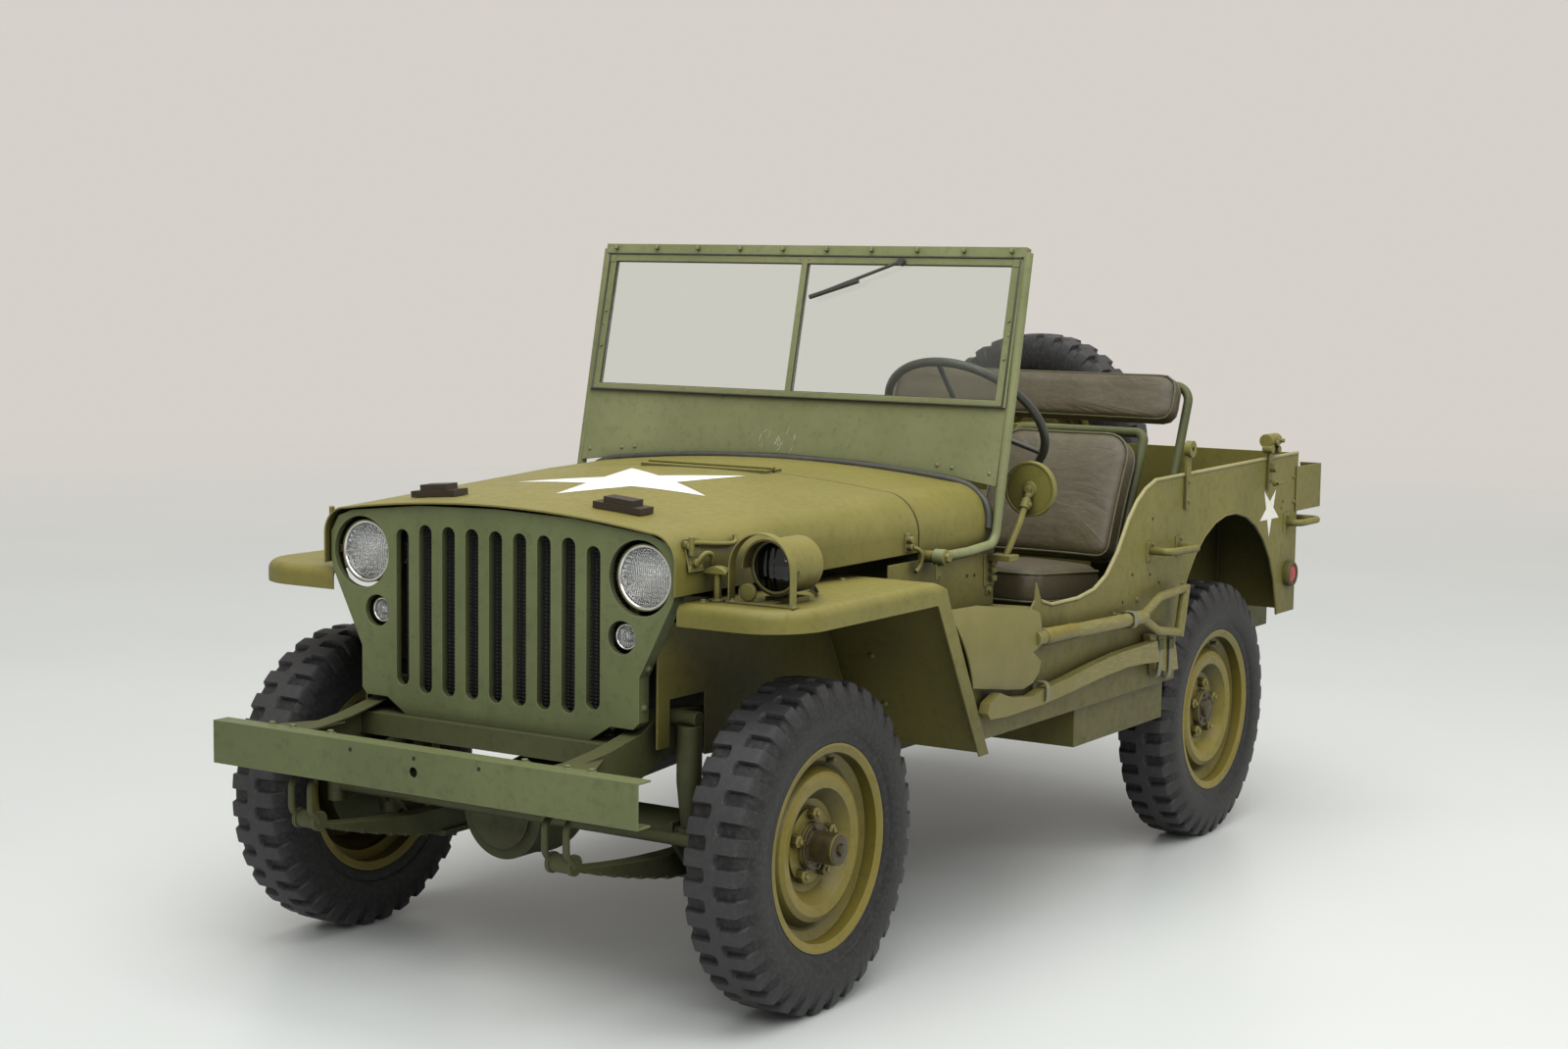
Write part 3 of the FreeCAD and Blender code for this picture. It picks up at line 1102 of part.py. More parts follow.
def make_rear_body():
    """Step, rear floor, wheel housings and rear panel."""
    half, sheet, house_x = s.body_half, s.body_sheet, s.wheelhouse_x
    inner, rear = half - sheet, s.body_rear_y
    parts = [
        box(-half, half, rear, rear + sheet, s.body_tail_low, s.body_tail_top),
        box(-house_x, house_x, s.floor_step_y, rear, s.rear_floor_z - sheet, s.rear_floor_z),
        box(-inner, inner, s.floor_step_y, s.floor_step_y + sheet, s.body_low, s.rear_floor_z),
    ]
    front = s.wheelbase - s.arch_radius - 14
    for side in (1, -1):
        x0, x1 = sorted((side * house_x, side * inner))
        wall0, wall1 = sorted((side * house_x, side * (house_x + sheet)))
        parts.append(box(x0, x1, front, rear, s.wheelhouse_top, s.wheelhouse_top + sheet))
        parts.append(box(wall0, wall1, front, rear, s.rear_floor_z - sheet, s.wheelhouse_top))
        parts.append(box(x0, x1, front, front + sheet, s.body_low, s.wheelhouse_top))
    return shaped("rear_body", fused(parts))


# ---------------------------------------------------------------- windshield

def raked(x, z):
    """A point on the windshield's plane."""
    slope = math.tan(math.radians(s.windshield_rake))
    return Vector(x, s.windshield_foot_y + (z - s.windshield_foot_z) * slope, z)


def raked_plate(points, thickness):
    """A plate on the windshield's plane, centred on it, from (x, z) points."""
    wire = Part.makePolygon([raked(x, z) for x, z in points + points[:1]])
    rake = math.radians(s.windshield_rake)
    normal = Vector(0, math.cos(rake), -math.sin(rake))
    plate = Part.Face(wire).extrude(normal * thickness)
    plate.translate(normal * (-thickness / 2))
    return plate


def raked_rectangle(half, low, high):
    return [(-half, low), (half, low), (half, high), (-half, high)]


def make_windshield():
    half, r = s.windshield_half, s.windshield_tube
    top, low, high = s.windshield_top_z, s.glass_low_z, s.glass_high_z
    foot = s.windshield_foot_z
    a, b = raked(half, top - r), raked(half, foot - 60)
    pivot = (half, s.windshield_pivot_y, s.windshield_pivot_z)
    side = tube([tuple(a), (half, b.y, b.z - 60), (half, b.y - 130, s.windshield_pivot_z),
                 pivot], r, 40)
    eye = rod((half - 12, pivot[1], pivot[2]), (half + 14, pivot[1], pivot[2]), 19)
    bar = raked_plate(raked_rectangle(half, top - 24, top), 24)
    # the lower panel follows the cowl's crown
    crown = s.hood_rear_top + 14
    edge = half - 8
    fall = s.hood_crown + 16
    bottom = [(x, crown - fall * (x / edge) ** 2) for x in (edge, edge * 0.75, edge * 0.4, 0,
                                                           -edge * 0.4, -edge * 0.75, -edge)]
    panel = raked_plate([(-edge, low - 8), (edge, low - 8)] + bottom, 3)
    # inner frame round the two panes
    frame = raked_plate(raked_rectangle(half - 6, low - 16, high + 16), 18)
    pane_half = half - 34
    for x0, x1 in ((8, pane_half), (-pane_half, -8)):
        hole = raked_plate([(x0, low), (x1, low), (x1, high), (x0, high)], 30)
        frame = frame.cut(hole)
    solids = [side, mirrored(side), eye, mirrored(eye), bar, panel, frame]
    shaped("windshield_frame", fused(solids))
    panes = []
    gap = s.seat_gap
    for x0, x1 in ((8 + gap, pane_half - gap), (-pane_half + gap, -8 - gap)):
        panes.append(raked_plate([(x0, low + gap), (x1, low + gap), (x1, high - gap), (x0, high - gap)],
                                 s.glass_thickness))
    shaped("windshield_glass", panes)
    # wiper in front of the driver's pane
    rake = math.radians(s.windshield_rake)
    out = Vector(0, -math.cos(rake), math.sin(rake))
    pivot_w = raked(284, high + 4) + out * 9.3
    tip = raked(60, high - 78) + out * 22
    post = Part.makeCylinder(9, 16, pivot_w, out)
    arm = rod(tuple(pivot_w + out * 12), tuple(tip), 4)
    blade = rod(tuple(raked(170, high - 44) + out * 20), tuple(raked(36, high - 86) + out * 20), 6)
    shaped("wiper", fused([post, arm, blade]))


# ---------------------------------------------------------------- seats

def make_seat_nodes():
    half, r, gap = s.seat_width / 2, s.seat_tube, s.seat_gap
    floor = s.body_low + s.body_sheet
    # the front seat's back leans from its foot to its top: (y, z)
    foot, head = Vector(0, 1508, 740), Vector(0, 1690, 1130)
    lean = (head - foot).normalize()
    ahead = Vector(0, -lean.z, lean.y)

    def back_point(up, forward):
        point = foot + lean * up + ahead * forward
        return point.y, point.z

    frames = []
    pivot_y, pivot_z = s.seat_pivot_y, floor + s.seat_pivot_height
    for side, name in ((1, "driver"), (-1, "passenger")):
        x0, x1 = side * s.seat_x - half, side * s.seat_x + half
        hoops = (x0 + r, x1 - r)
        base = side_profile([(1070, 722), (1500, 690), (1500, 702), (1070, 734)], x0, x1)
        hoop = tube([(hoops[0], 1496, 700), (hoops[0], foot.y, foot.z), (hoops[0], head.y, head.z),
                     (hoops[1], head.y, head.z), (hoops[1], foot.y, foot.z), (hoops[1], 1496, 700)], r, 26)
        parts = [base, hoop]
        eye_radius = pivot_z - floor - s.panel_gap
        for x in hoops:
            parts.append(rod((x, 1470, floor + gap), (x, 1470, 697), r))
            parts.append(rod((x, pivot_y, pivot_z), (x, pivot_y, 726), r - 2))
            parts.append(rod((x - r + 2, pivot_y, pivot_z), (x + r - 2, pivot_y, pivot_z), eye_radius))
        frame = fused(parts)
        pins = [rod((x - r - 6, pivot_y, pivot_z), (x + r + 6, pivot_y, pivot_z), s.seat_pin) for x in hoops]
        frame = frame.cut(Part.makeCompound([rod((x - r, pivot_y, pivot_z), (x + r, pivot_y, pivot_z),
                                                 s.seat_pin + gap) for x in hoops]))
        for x, pin in zip(hoops, pins):
            ears = [box(x0, x0 + 6, pivot_y - 14, pivot_y + 14, floor + gap, pivot_z + 12)
                    for x0 in (x - r - 6, x + r)]
            foot_plate = box(x - r - 6, x + r + 6, pivot_y - 14, pivot_y + 14, floor + gap, floor + 3)
            frames.append(fused([pin, foot_plate] + ears))
        if side > 0:
            frames.append(frame)
        else:
            shaped("passenger_seat_frame", frame)
        seat = side_profile([(1046, 736 + gap), (1070, 734 + gap), (1440, 706.5 + gap), (1440, 782),
                             (1400, 800), (1080, 830), (1046, 812)], x0, x1)
        back = side_profile([back_point(56, r + gap), back_point(396, r + gap), back_point(414, r + 40),
                             back_point(396, r + 84), back_point(60, r + 92)], x0, x1)
        shaped(name + "_seat_cushions", [seat, back])
    # rear bench: cushion on a pan with legs, back pad in front of a U tube
    w, y = s.rear_seat_half, s.body_rear_y - 250
    seat_top = s.wheelhouse_top + s.body_sheet
    foot_y, head_y, head_z = y - 60, y + 44, 1225
    u_tube = tube([(-w, foot_y, seat_top), (-w, foot_y, seat_top + 60), (-w, head_y, head_z),
                   (w, head_y, head_z), (w, foot_y, seat_top + 60), (w, foot_y, seat_top)], r, 50)
    legs = [rod((x, leg_y, s.rear_floor_z), (x, leg_y, 800), r) for x in (-w + 60, w - 60)
            for leg_y in (y - 330, y - 60)]
    frames.append(fused([box(-w + 20, w - 20, y - 370, y - 30, 796, 808)] + legs))
    frames.append(u_tube)
    shaped("seat_frames", frames)
    lean = Vector(0, head_y - foot_y, head_z - seat_top - 60).normalize()
    ahead = Vector(0, -lean.z, lean.y)
    top = Vector(0, head_y, head_z)

    def pad_point(down, forward):
        point = top - lean * down + ahead * forward
        return point.y, point.z

    pad = side_profile([pad_point(-16, r + gap), pad_point(-20, r + 40), pad_point(-4, r + 74),
                        pad_point(112, r + 80), pad_point(126, r + 60), pad_point(126, r + gap)], -w, w)
    bench = box(-w + 10, w - 10, y - 380, y - 20, 808 + gap, 900)
    shaped("rear_seat_cushions", [bench, pad])


# ---------------------------------------------------------------- tools, brackets, mirror

def shovel():
    """Round-mouth shovel on the left side: dished blade forward, with its shoulders and
    the notch between them, and a D handle to the rear."""
    x, dish, sheet = s.body_half + 36, 300, s.body_sheet
    crest, tip_crest = s.body_half + 46, s.fender_outer_x + 2
    outline = side_profile([
        (fender_slope_y(808) + 10, 808), (fender_slope_y(622) + 10, 622), (685, 598), (755, 590),
        (792, 600), (815, 632), (812, 650), (772, 676), (812, 690), (826, 730), (816, 764), (786, 774),
        (693, 786), (560, 805)], s.body_half + 2, s.body_half + 80)
    start, end = Vector(tip_crest - dish, 440, 706), Vector(crest - dish, 830, 679)
    bowl = Part.makeCylinder(dish, (end - start).Length, start, end - start)
    hollow = Part.makeCylinder(dish - sheet, (end - start).Length + 2, start, end - start)
    blade = bowl.cut(hollow).common(outline)
    shaft = rod((x, 790, 704), (x, 1396, 688), 17)
    upper = tube([(x, 1380, 688), (x, 1489, 728), (x, 1648, 735)], 11, 40)
    lower = tube([(x, 1380, 688), (x, 1484, 642), (x, 1620, 622)], 11, 40)
    grip = rod((x, 1652, 744), (x, 1616, 612), 13)
    return fused([blade, shaft, upper, lower, grip])


def axe():
    """Axe under the shovel: a curved handle with a flared butt forward, and its head in
    a sheath at the rear."""
    x = s.body_half + 26
    handle = side_profile([
        (562, 561), (573, 583), (623, 600), (680, 582), (785, 570), (838, 579), (967, 588), (1109, 602),
        (1257, 613), (1480, 616), (1500, 560), (1394, 567), (1311, 571), (1160, 565), (1016, 554),
        (840, 543), (656, 541), (579, 546)], x - 12, x + 12)
    head = side_profile([(1464, 632), (1607, 620), (1632, 580), (1650, 520), (1580, 522), (1514, 536),
                         (1484, 580)], s.body_half + 3, s.body_half + 23)
    return fused([handle, head])


def make_side_tools():
    return shaped("side_tools", [shovel(), axe()])


def spare_carrier():
    """A bridge from the rear panel to the spare wheel's mounting face."""
    y0 = s.body_rear_y + s.body_sheet + s.seat_gap
    post = rod((s.spare_x, y0, s.spare_z), (s.spare_x, s.spare_y + 5, s.spare_z), 78)
    stub = rod((s.spare_x, s.spare_y + 5, s.spare_z), (s.spare_x, s.spare_y + 40, s.spare_z), 39)
    plate = box(s.spare_x - 160, s.spare_x + 160, y0, y0 + 6, s.spare_z - 260, s.spare_z + 30)
    return fused([post, stub, plate])


def mirror():
    x = s.cowl_rear_half + 34
    foot = box(s.cowl_rear_half + s.seat_gap, x + 24, s.cowl_rear_y - 30, s.cowl_rear_y + 16, 872, 886)
    arm = tube([(x, 862, 880), (x + 16, 900, 960), (x + 16, 952, 1036)], 8, 30)
    disc = rod((x + 16, 948, 1036), (x + 16, 960, 1036), 66)
    return fused([foot, arm, disc])


def make_body_brackets():
    half, r, reach = s.body_half, s.handle_radius, s.handle_reach
    out = reach - r
    solids = []
    for side in (1, -1):
        y0, y1 = s.floor_step_y - 160, s.floor_step_y + 20
        solids.append(tube([(side * half, y0, 843), (side * out, y0, 843), (side * out, y1, 838),
                            (side * half, y1, 838)], r, 18))
        y0, y1 = s.body_rear_y - 75, s.body_rear_y + 75
        solids.append(tube([(side * half, y0, 840), (side * (half + 42), y0, 840),
                            (side * (half + 42), y1, 840), (side * (half - 100), y1, 840),
                            (side * (half - 100), s.body_rear_y + s.body_sheet, 840)], r, 24))
        x0, x1 = sorted((side * half, side * (half + 8)))
        y = s.floor_step_y + 59
        strap = box(x0, x1, y - 13, y + 13, 935, 1092)
        ear = rod((side * half, y, 1092), (side * (half + 18), y, 1092), 22)
        hole = rod((side * (half - 1), y, 1092), (side * (half + 19), y, 1092), 7)
        solids.append(fused([strap, ear]).cut(hole))
        # clamp for the canvas top's rear bow: strap, split ring and its cross pin
        y = s.body_rear_y - 226
        strap = box(x0, x1, y - 12, y + 12, 946, 1072)
        ring_x = side * (half + 4)
        ring = rod((ring_x, y - 34, 1084), (ring_x, y + 40, 1084), 19)
        pin = rod((side * (half - 28), y + 18, 1084), (side * (half + 38), y + 18, 1084), 6)
        knob = rod((side * half, y, 1006), (side * (half + 26), y, 1006), 11)
        solids.append(fused([strap, ring, pin, knob]))
    # seats for the shovel and axe on the left side.  Columns: y, length, z, height, reach
    for y, length, z, height, reach_x in ((870, 36, 689, 26, 19), (1290, 30, 677, 26, 19),
                                          (1150, 30, 572, 26, 14), (1590, 24, 560, 46, 3)):
        solids.append(box(half, half + reach_x - s.seat_gap, y, y + length, z, z + height))
    y0, y1, sheet = s.body_rear_y - 15, s.body_rear_y + 179, s.body_sheet
    panel = box(half, half + sheet, y0, y1, 868, 996)
    rear = box(half - 60, half + sheet, y1 - sheet, y1, 868, 996)
    solids.append(fused([panel, rear]))
    return shaped("body_brackets", solids + [spare_carrier(), mirror()])


make_frame_rails()
make_front_bumper()
make_rear_bumperettes()
make_pintle_hook()
make_front_axle()
make_rear_axle()
make_leaf_springs()
make_shock_absorbers()
make_engine_block()
make_drive_line()
make_exhaust()
make_wheels()
make_spare()
make_steering()
make_grille()
make_radiator()
make_lamps()
make_lamp_lenses()
make_fender(1)
make_fender(-1)
make_hood()
make_hood_blocks()
make_cowl()
make_body_sides()
make_body_tub()
make_rear_body()
make_windshield()
make_seat_nodes()
make_side_tools()
make_body_brackets()
doc.recompute()

os.makedirs("parts", exist_ok=True)
for obj in doc.Objects:
    if "Invalid" in obj.State or "Error" in obj.State:
        raise RuntimeError(f"{obj.Label} did not build")
for node in nodes:
    if node.Shape.isNull() or not node.Shape.isValid():
        raise RuntimeError(f"{node.Label} has no valid shape")
for node in nodes:
    node.Shape.exportStep(f"parts/{node.Label}.step")
    box_size = node.Shape.BoundBox
    print(f"{node.Label:22s} solids {len(node.Shape.Solids)} volume {node.Shape.Volume / 1000:.0f} cm3",
          f"x {box_size.XMin:.0f} {box_size.XMax:.0f} y {box_size.YMin:.0f} {box_size.YMax:.0f}",
          f"z {box_size.ZMin:.0f} {box_size.ZMax:.0f}")
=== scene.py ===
import bmesh
import bpy
import math
import random
from mathutils import Matrix, Vector, noise
from mathutils.bvhtree import BVHTree


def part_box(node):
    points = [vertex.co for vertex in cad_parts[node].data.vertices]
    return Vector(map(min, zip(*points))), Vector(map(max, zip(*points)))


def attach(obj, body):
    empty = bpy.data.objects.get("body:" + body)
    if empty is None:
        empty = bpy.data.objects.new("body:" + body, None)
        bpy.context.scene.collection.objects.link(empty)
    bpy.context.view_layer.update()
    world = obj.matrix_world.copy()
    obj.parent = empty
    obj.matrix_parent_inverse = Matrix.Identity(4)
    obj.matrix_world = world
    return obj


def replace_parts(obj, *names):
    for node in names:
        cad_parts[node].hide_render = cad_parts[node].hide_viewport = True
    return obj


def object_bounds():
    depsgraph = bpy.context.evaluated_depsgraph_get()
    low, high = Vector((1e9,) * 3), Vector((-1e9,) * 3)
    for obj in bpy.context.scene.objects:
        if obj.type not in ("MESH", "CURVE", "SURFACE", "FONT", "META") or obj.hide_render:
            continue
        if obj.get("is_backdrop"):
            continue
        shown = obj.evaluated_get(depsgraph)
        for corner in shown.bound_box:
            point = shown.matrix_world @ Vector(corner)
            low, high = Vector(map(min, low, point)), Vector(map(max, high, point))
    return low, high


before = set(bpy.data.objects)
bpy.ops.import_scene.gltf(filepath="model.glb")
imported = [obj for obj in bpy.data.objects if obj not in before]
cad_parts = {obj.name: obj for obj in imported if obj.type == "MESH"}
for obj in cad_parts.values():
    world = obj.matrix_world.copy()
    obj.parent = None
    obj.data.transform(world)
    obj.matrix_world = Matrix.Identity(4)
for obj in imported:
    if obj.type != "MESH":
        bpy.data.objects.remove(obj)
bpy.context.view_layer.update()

# ---- Studio -------------------------------------------------------------------
# A pale painted floor that fades into a warm pale backdrop, lit by a very soft even
# light from overhead, two soft boxes on the side seen first, and the bright room.


def linear(code):
    """An sRGB hex colour as linear red, green, blue and alpha."""
    parts = (int(code[i:i + 2], 16) / 255 for i in (0, 2, 4))
    return tuple(c / 12.92 if c <= 0.04045 else ((c + 0.055) / 1.055) ** 2.4 for c in parts) + (1.0,)


def add(tree, kind, inputs=None, **settings):
    """Adds one shader node, with its settings, and its inputs as values or links."""
    made = tree.nodes.new("ShaderNode" + kind)
    for key, value in settings.items():
        setattr(made, key, value)
    for key, value in (inputs or {}).items():
        if isinstance(value, bpy.types.NodeSocket):
            tree.links.new(value, made.inputs[key])
        else:
            made.inputs[key].default_value = value
    return made


def patches_of(tree, place, scale, detail, roughness=0.5):
    """Noise patches across a surface, their size set by the scale per metre."""
    inputs = {"Vector": place, "Scale": scale, "Detail": detail, "Roughness": roughness}
    return add(tree, "TexNoise", inputs).outputs["Fac"]


def blend(tree, share, under, over):
    """One colour laid over another by a share from 0 to 1."""
    return add(tree, "Mix", {0: share, 6: under, 7: over}, data_type="RGBA").outputs[2]


def finish_with(tree, **inputs):
    """The surface itself: sockets of the principled shader by name, spaces as _."""
    sockets = {key.replace("_", " "): value for key, value in inputs.items()}
    shader = add(tree, "BsdfPrincipled", sockets)
    add(tree, "OutputMaterial", {"Surface": shader.outputs[0]})


def empty_material(name):
    material = bpy.data.materials.new(name)
    material.use_nodes = True
    material.node_tree.nodes.clear()
    return material, material.node_tree


camera_data = bpy.data.cameras.new("camera")
camera_data.sensor_width = 36
camera_data.lens = 57.63
camera_data.clip_end = 100
camera = bpy.data.objects.new("camera", camera_data)
bpy.context.scene.collection.objects.link(camera)
right = Vector((0.841677, 0.539837, 0.012497))
up = Vector((-0.066992, 0.081429, 0.994425))
back = right.cross(up)
camera.matrix_world = Matrix((
    (right.x, up.x, back.x, 3.371),
    (right.y, up.y, back.y, -5.521),
    (right.z, up.z, back.z, 1.571),
    (0, 0, 0, 1)))
bpy.context.scene.camera = camera
bpy.context.scene.view_settings.view_transform = "Standard"

floor_mesh = bpy.data.meshes.new("floor")
floor_mesh.from_pydata([(-40, -40, 0), (40, -40, 0), (40, 40, 0), (-40, 40, 0)], [], [(0, 1, 2, 3)])
floor = bpy.data.objects.new("floor", floor_mesh)
bpy.context.scene.collection.objects.link(floor)
floor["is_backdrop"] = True
floor_paint, tree = empty_material("painted_concrete_floor")
place = add(tree, "TexCoord").outputs["Object"]
blotch = patches_of(tree, place, 0.6, 4.0)
tone = blend(tree, blotch, linear("c9cdca"), linear("d6d8d4"))
scuff = patches_of(tree, place, 24.0, 6.0)
bump = add(tree, "Bump", {"Height": scuff, "Strength": 0.05, "Distance": 0.002}).outputs[0]
floor_bsdf = add(tree, "BsdfPrincipled", {"Base Color": tone, "Roughness": 0.38, "Normal": bump})
away = add(tree, "VectorMath", {0: place}, operation="LENGTH").outputs["Value"]
sweep = add(tree, "MapRange", {0: away, 1: 4.5, 2: 17.0, 3: 0.0, 4: 1.0}, interpolation_type="SMOOTHSTEP")
beyond = add(tree, "BsdfTransparent")
faded = add(tree, "MixShader", {0: sweep.outputs[0], 1: floor_bsdf.outputs[0], 2: beyond.outputs[0]})
add(tree, "OutputMaterial", {"Surface": faded.outputs[0]})
floor_mesh.materials.append(floor_paint)

world = bpy.data.worlds.new("studio")
bpy.context.scene.world = world
world.use_nodes = True
tree = world.node_tree
tree.nodes.clear()
rays = add(tree, "LightPath").outputs
seen = add(tree, "Math", {0: rays["Is Camera Ray"], 1: rays["Is Transmission Ray"]}, operation="MAXIMUM")
seen = add(tree, "Math", {0: seen.outputs[0], 1: rays["Is Glossy Ray"]}, operation="MAXIMUM")
room = add(tree, "Background", {"Color": linear("e9ecee"), "Strength": 0.42})
wall = add(tree, "Background", {"Color": linear("d6d1ca"), "Strength": 1.0})
mixed = add(tree, "MixShader", {0: seen.outputs[0], 1: room.outputs[0], 2: wall.outputs[0]})
add(tree, "OutputWorld", {"Surface": mixed.outputs[0]})

for name, spot, aim, width, height, power in (
        ("overhead", (0.6, -0.9, 4.6), (0, 0.1, 0), 4.0, 5.0, 130),
        ("front_left", (3.9, -5.2, 3.6), (0.2, -0.6, 0.6), 3.0, 2.0, 80),
        ("rear_left", (5.0, 2.6, 3.4), (0.5, 0.6, 0.6), 2.5, 2.0, 45)):
    lamp_data = bpy.data.lights.new(name, "AREA")
    lamp_data.shape = "RECTANGLE"
    lamp_data.size, lamp_data.size_y = width, height
    lamp_data.energy = power
    lamp = bpy.data.objects.new(name, lamp_data)
    bpy.context.scene.collection.objects.link(lamp)
    lamp.location = spot
    lamp.rotation_euler = (Vector(aim) - Vector(spot)).to_track_quat("-Z", "Y").to_euler()

even_data = bpy.data.lights.new("even", "SUN")
even_data.energy = 1.75
even_data.angle = math.radians(75)
even = bpy.data.objects.new("even", even_data)
bpy.context.scene.collection.objects.link(even)
even.rotation_euler = Vector((-0.25, 0.32, -1.0)).to_track_quat("-Z", "Y").to_euler()

# ---- Painted steel ------------------------------------------------------------
# Body panels, frame and axles: pressed and welded steel under brushed or sprayed
# satin olive drab.  It shows a fine orange peel, sun-faded tops, dust on level
# faces, painted shade in corners, in hollows and on undersides, a darkening toward
# the bottom, and paler edges, partly rubbed and partly a painted highlight.


def olive_paint(name, base, faded, grime_and_shade, rough=0.5, edge=0.5, bottom_darkening=0.0):
    material, tree = empty_material(name)
    place = add(tree, "TexCoord").outputs["Object"]
    # faded patches about 300 mm across, and mottling about 20 mm across
    patches = add(tree, "TexNoise", {"Vector": place, "Scale": 3.3, "Detail": 5.0, "Roughness": 0.6})
    mottle = add(tree, "TexNoise", {"Vector": place, "Scale": 48.0, "Detail": 6.0, "Roughness": 0.65})
    spread = add(tree, "MapRange", {0: patches.outputs["Fac"], 1: 0.35, 2: 0.72, 3: 0.0, 4: 0.75})
    colour = add(tree, "Mix", {0: spread.outputs[0], 6: linear(base), 7: linear(faded)}, data_type="RGBA")
    fleck = add(tree, "MapRange", {0: mottle.outputs["Fac"], 1: 0.52, 2: 0.75, 3: 0.0, 4: 0.35})
    colour = add(tree, "Mix", {0: fleck.outputs[0], 6: colour.outputs[2], 7: linear(grime_and_shade)}, data_type="RGBA")
    # dust on faces that look up
    normal = add(tree, "NewGeometry").outputs["Normal"]
    height = add(tree, "SeparateXYZ", {0: normal}).outputs[2]
    level = add(tree, "MapRange", {0: height, 1: 0.5, 2: 1.0, 3: 0.0, 4: 0.4})
    colour = add(tree, "Mix", {0: level.outputs[0], 6: colour.outputs[2], 7: linear(faded)}, data_type="RGBA")
    # painted shade where surfaces meet, within about 35 mm, in the grime colour
    corner = add(tree, "AmbientOcclusion", {"Distance": 0.035}, samples=4)
    shade = add(tree, "MapRange", {0: corner.outputs["AO"], 1: 0.35, 2: 0.9, 3: 0.6, 4: 0.0})
    colour = add(tree, "Mix", {0: shade.outputs[0], 6: colour.outputs[2], 7: linear(grime_and_shade)}, data_type="RGBA")
    # painted shade on undersides, and in deep hollows about 300 mm across
    under = add(tree, "MapRange", {0: height, 1: -0.15, 2: -0.8, 3: 0.0, 4: 0.85}).outputs[0]
    hollow_occlusion = add(tree, "AmbientOcclusion", {"Distance": 0.40}, samples=6)
    deep = add(tree, "MapRange", {0: hollow_occlusion.outputs["AO"], 1: 0.15, 2: 0.66, 3: 0.92, 4: 0.0}).outputs[0]
    shade_and_bottom_darkening = add(tree, "Math", {0: under, 1: deep}, operation="MAXIMUM").outputs[0]
    # darker toward the bottom, from 850 mm above the road down to 350 mm
    above = add(tree, "SeparateXYZ", {0: place}).outputs[2]
    low = add(tree, "MapRange", {0: above, 1: 0.85, 2: 0.35, 3: 0.0, 4: bottom_darkening}).outputs[0]
    shade_and_bottom_darkening = add(tree, "Math", {0: shade_and_bottom_darkening, 1: low}, operation="MAXIMUM").outputs[0]
    # the painted shade and the darkening toward the bottom, in one dark colour
    colour = add(tree, "Mix", {0: shade_and_bottom_darkening, 6: colour.outputs[2], 7: linear("211f10")}, data_type="RGBA")
    # paler edges where a 3 mm rounding turns away from the flat face: partly rubbed wear, partly a painted
    # highlight
    rounded = add(tree, "Bevel", {"Radius": 0.003}, samples=4).outputs[0]
    turn = add(tree, "VectorMath", {0: rounded, 1: normal}, operation="DOT_PRODUCT").outputs["Value"]
    edge_wear_and_highlight = add(tree, "MapRange", {0: turn, 1: 0.995, 2: 0.86, 3: 0.0, 4: edge})
    edge_wear_and_highlight = add(tree, "Math", {0: edge_wear_and_highlight.outputs[0], 1: mottle.outputs["Fac"]}, operation="MULTIPLY")
    colour = add(tree, "Mix", {0: edge_wear_and_highlight.outputs[0], 6: colour.outputs[2], 7: linear("b3ad86")},
                 data_type="RGBA")
    gloss = add(tree, "MapRange", {0: mottle.outputs["Fac"], 1: 0.3, 2: 0.7, 3: rough - 0.07, 4: rough + 0.1})
    # orange peel about 2 mm across
    peel = add(tree, "TexNoise", {"Vector": place, "Scale": 420.0, "Detail": 2.0})
    bump = add(tree, "Bump", {"Height": peel.outputs["Fac"], "Strength": 0.06, "Distance": 0.001,
                              "Normal": rounded})
    finish_with(tree, Base_Color=colour.outputs[2], Roughness=gloss.outputs[0], Specular_IOR_Level=0.36,
                Normal=bump.outputs[0])
    return material


body_paint = olive_paint("satin_olive_body_paint", "68632a", "82793c", "423d18", bottom_darkening=0.6)
# the body's olive paint, painted greener for the light that falls on the front faces
front_paint_with_painted_light = olive_paint("satin_olive_paint_with_painted_green_light", "5b633e", "6e754c", "363922", bottom_darkening=0.2)
windshield_paint = olive_paint("pale_olive_windshield_paint", "6c7049", "84875f", "434429")
# darker than the body: partly its own dull paint, partly painted shade under the car
frame_paint_with_painted_shade = olive_paint("dull_olive_frame_paint_with_painted_shade", "454827", "5b5e37", "212113", rough=0.6, edge=0.35,
                          bottom_darkening=0.45)
wheel_paint = olive_paint("satin_yellow_olive_wheel_paint", "6c6120", "86782e", "322b12", rough=0.4)


def dress(names, material):
    """Gives CAD nodes a material in all their slots."""
    for name in names:
        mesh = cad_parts[name].data
        mesh.materials.clear()
        mesh.materials.append(material)
        mesh.polygons.foreach_set("material_index", [0] * len(mesh.polygons))


dress(("body_tub", "cowl", "hood", "fender_left", "fender_right", "body_brackets", "lamps",
       "body_side_left", "body_side_right", "rear_body"), body_paint)
dress(("windshield_frame",), windshield_paint)
dress(("grille", "front_bumper"), front_paint_with_painted_light)
dress(("frame_rails", "rear_bumperettes", "pintle_hook", "front_axle", "rear_axle", "leaf_springs",
       "shock_absorbers", "knuckle_left", "knuckle_right", "tie_rod", "steering_column", "seat_frames",
       "passenger_seat_frame"), frame_paint_with_painted_shade)
dress(("wheel_front_left", "wheel_front_right", "wheel_rear_left", "wheel_rear_right", "spare_wheel"),
      wheel_paint)

# ---- Bolts, rivets and screw holes ----------------------------------------------
# Plated steel hexagon bolts on washers, round-headed rivets and bare tapped holes,
# painted over with the sheet they hold.


def smooth_object(name, mesh, angle=35):
    """An object whose faces are smooth but for edges sharper than the angle."""
    mesh.polygons.foreach_set("use_smooth", [True] * len(mesh.polygons))
    mesh.set_sharp_from_angle(angle=math.radians(angle))
    made = bpy.data.objects.new(name, mesh)
    bpy.context.scene.collection.objects.link(made)
    return made


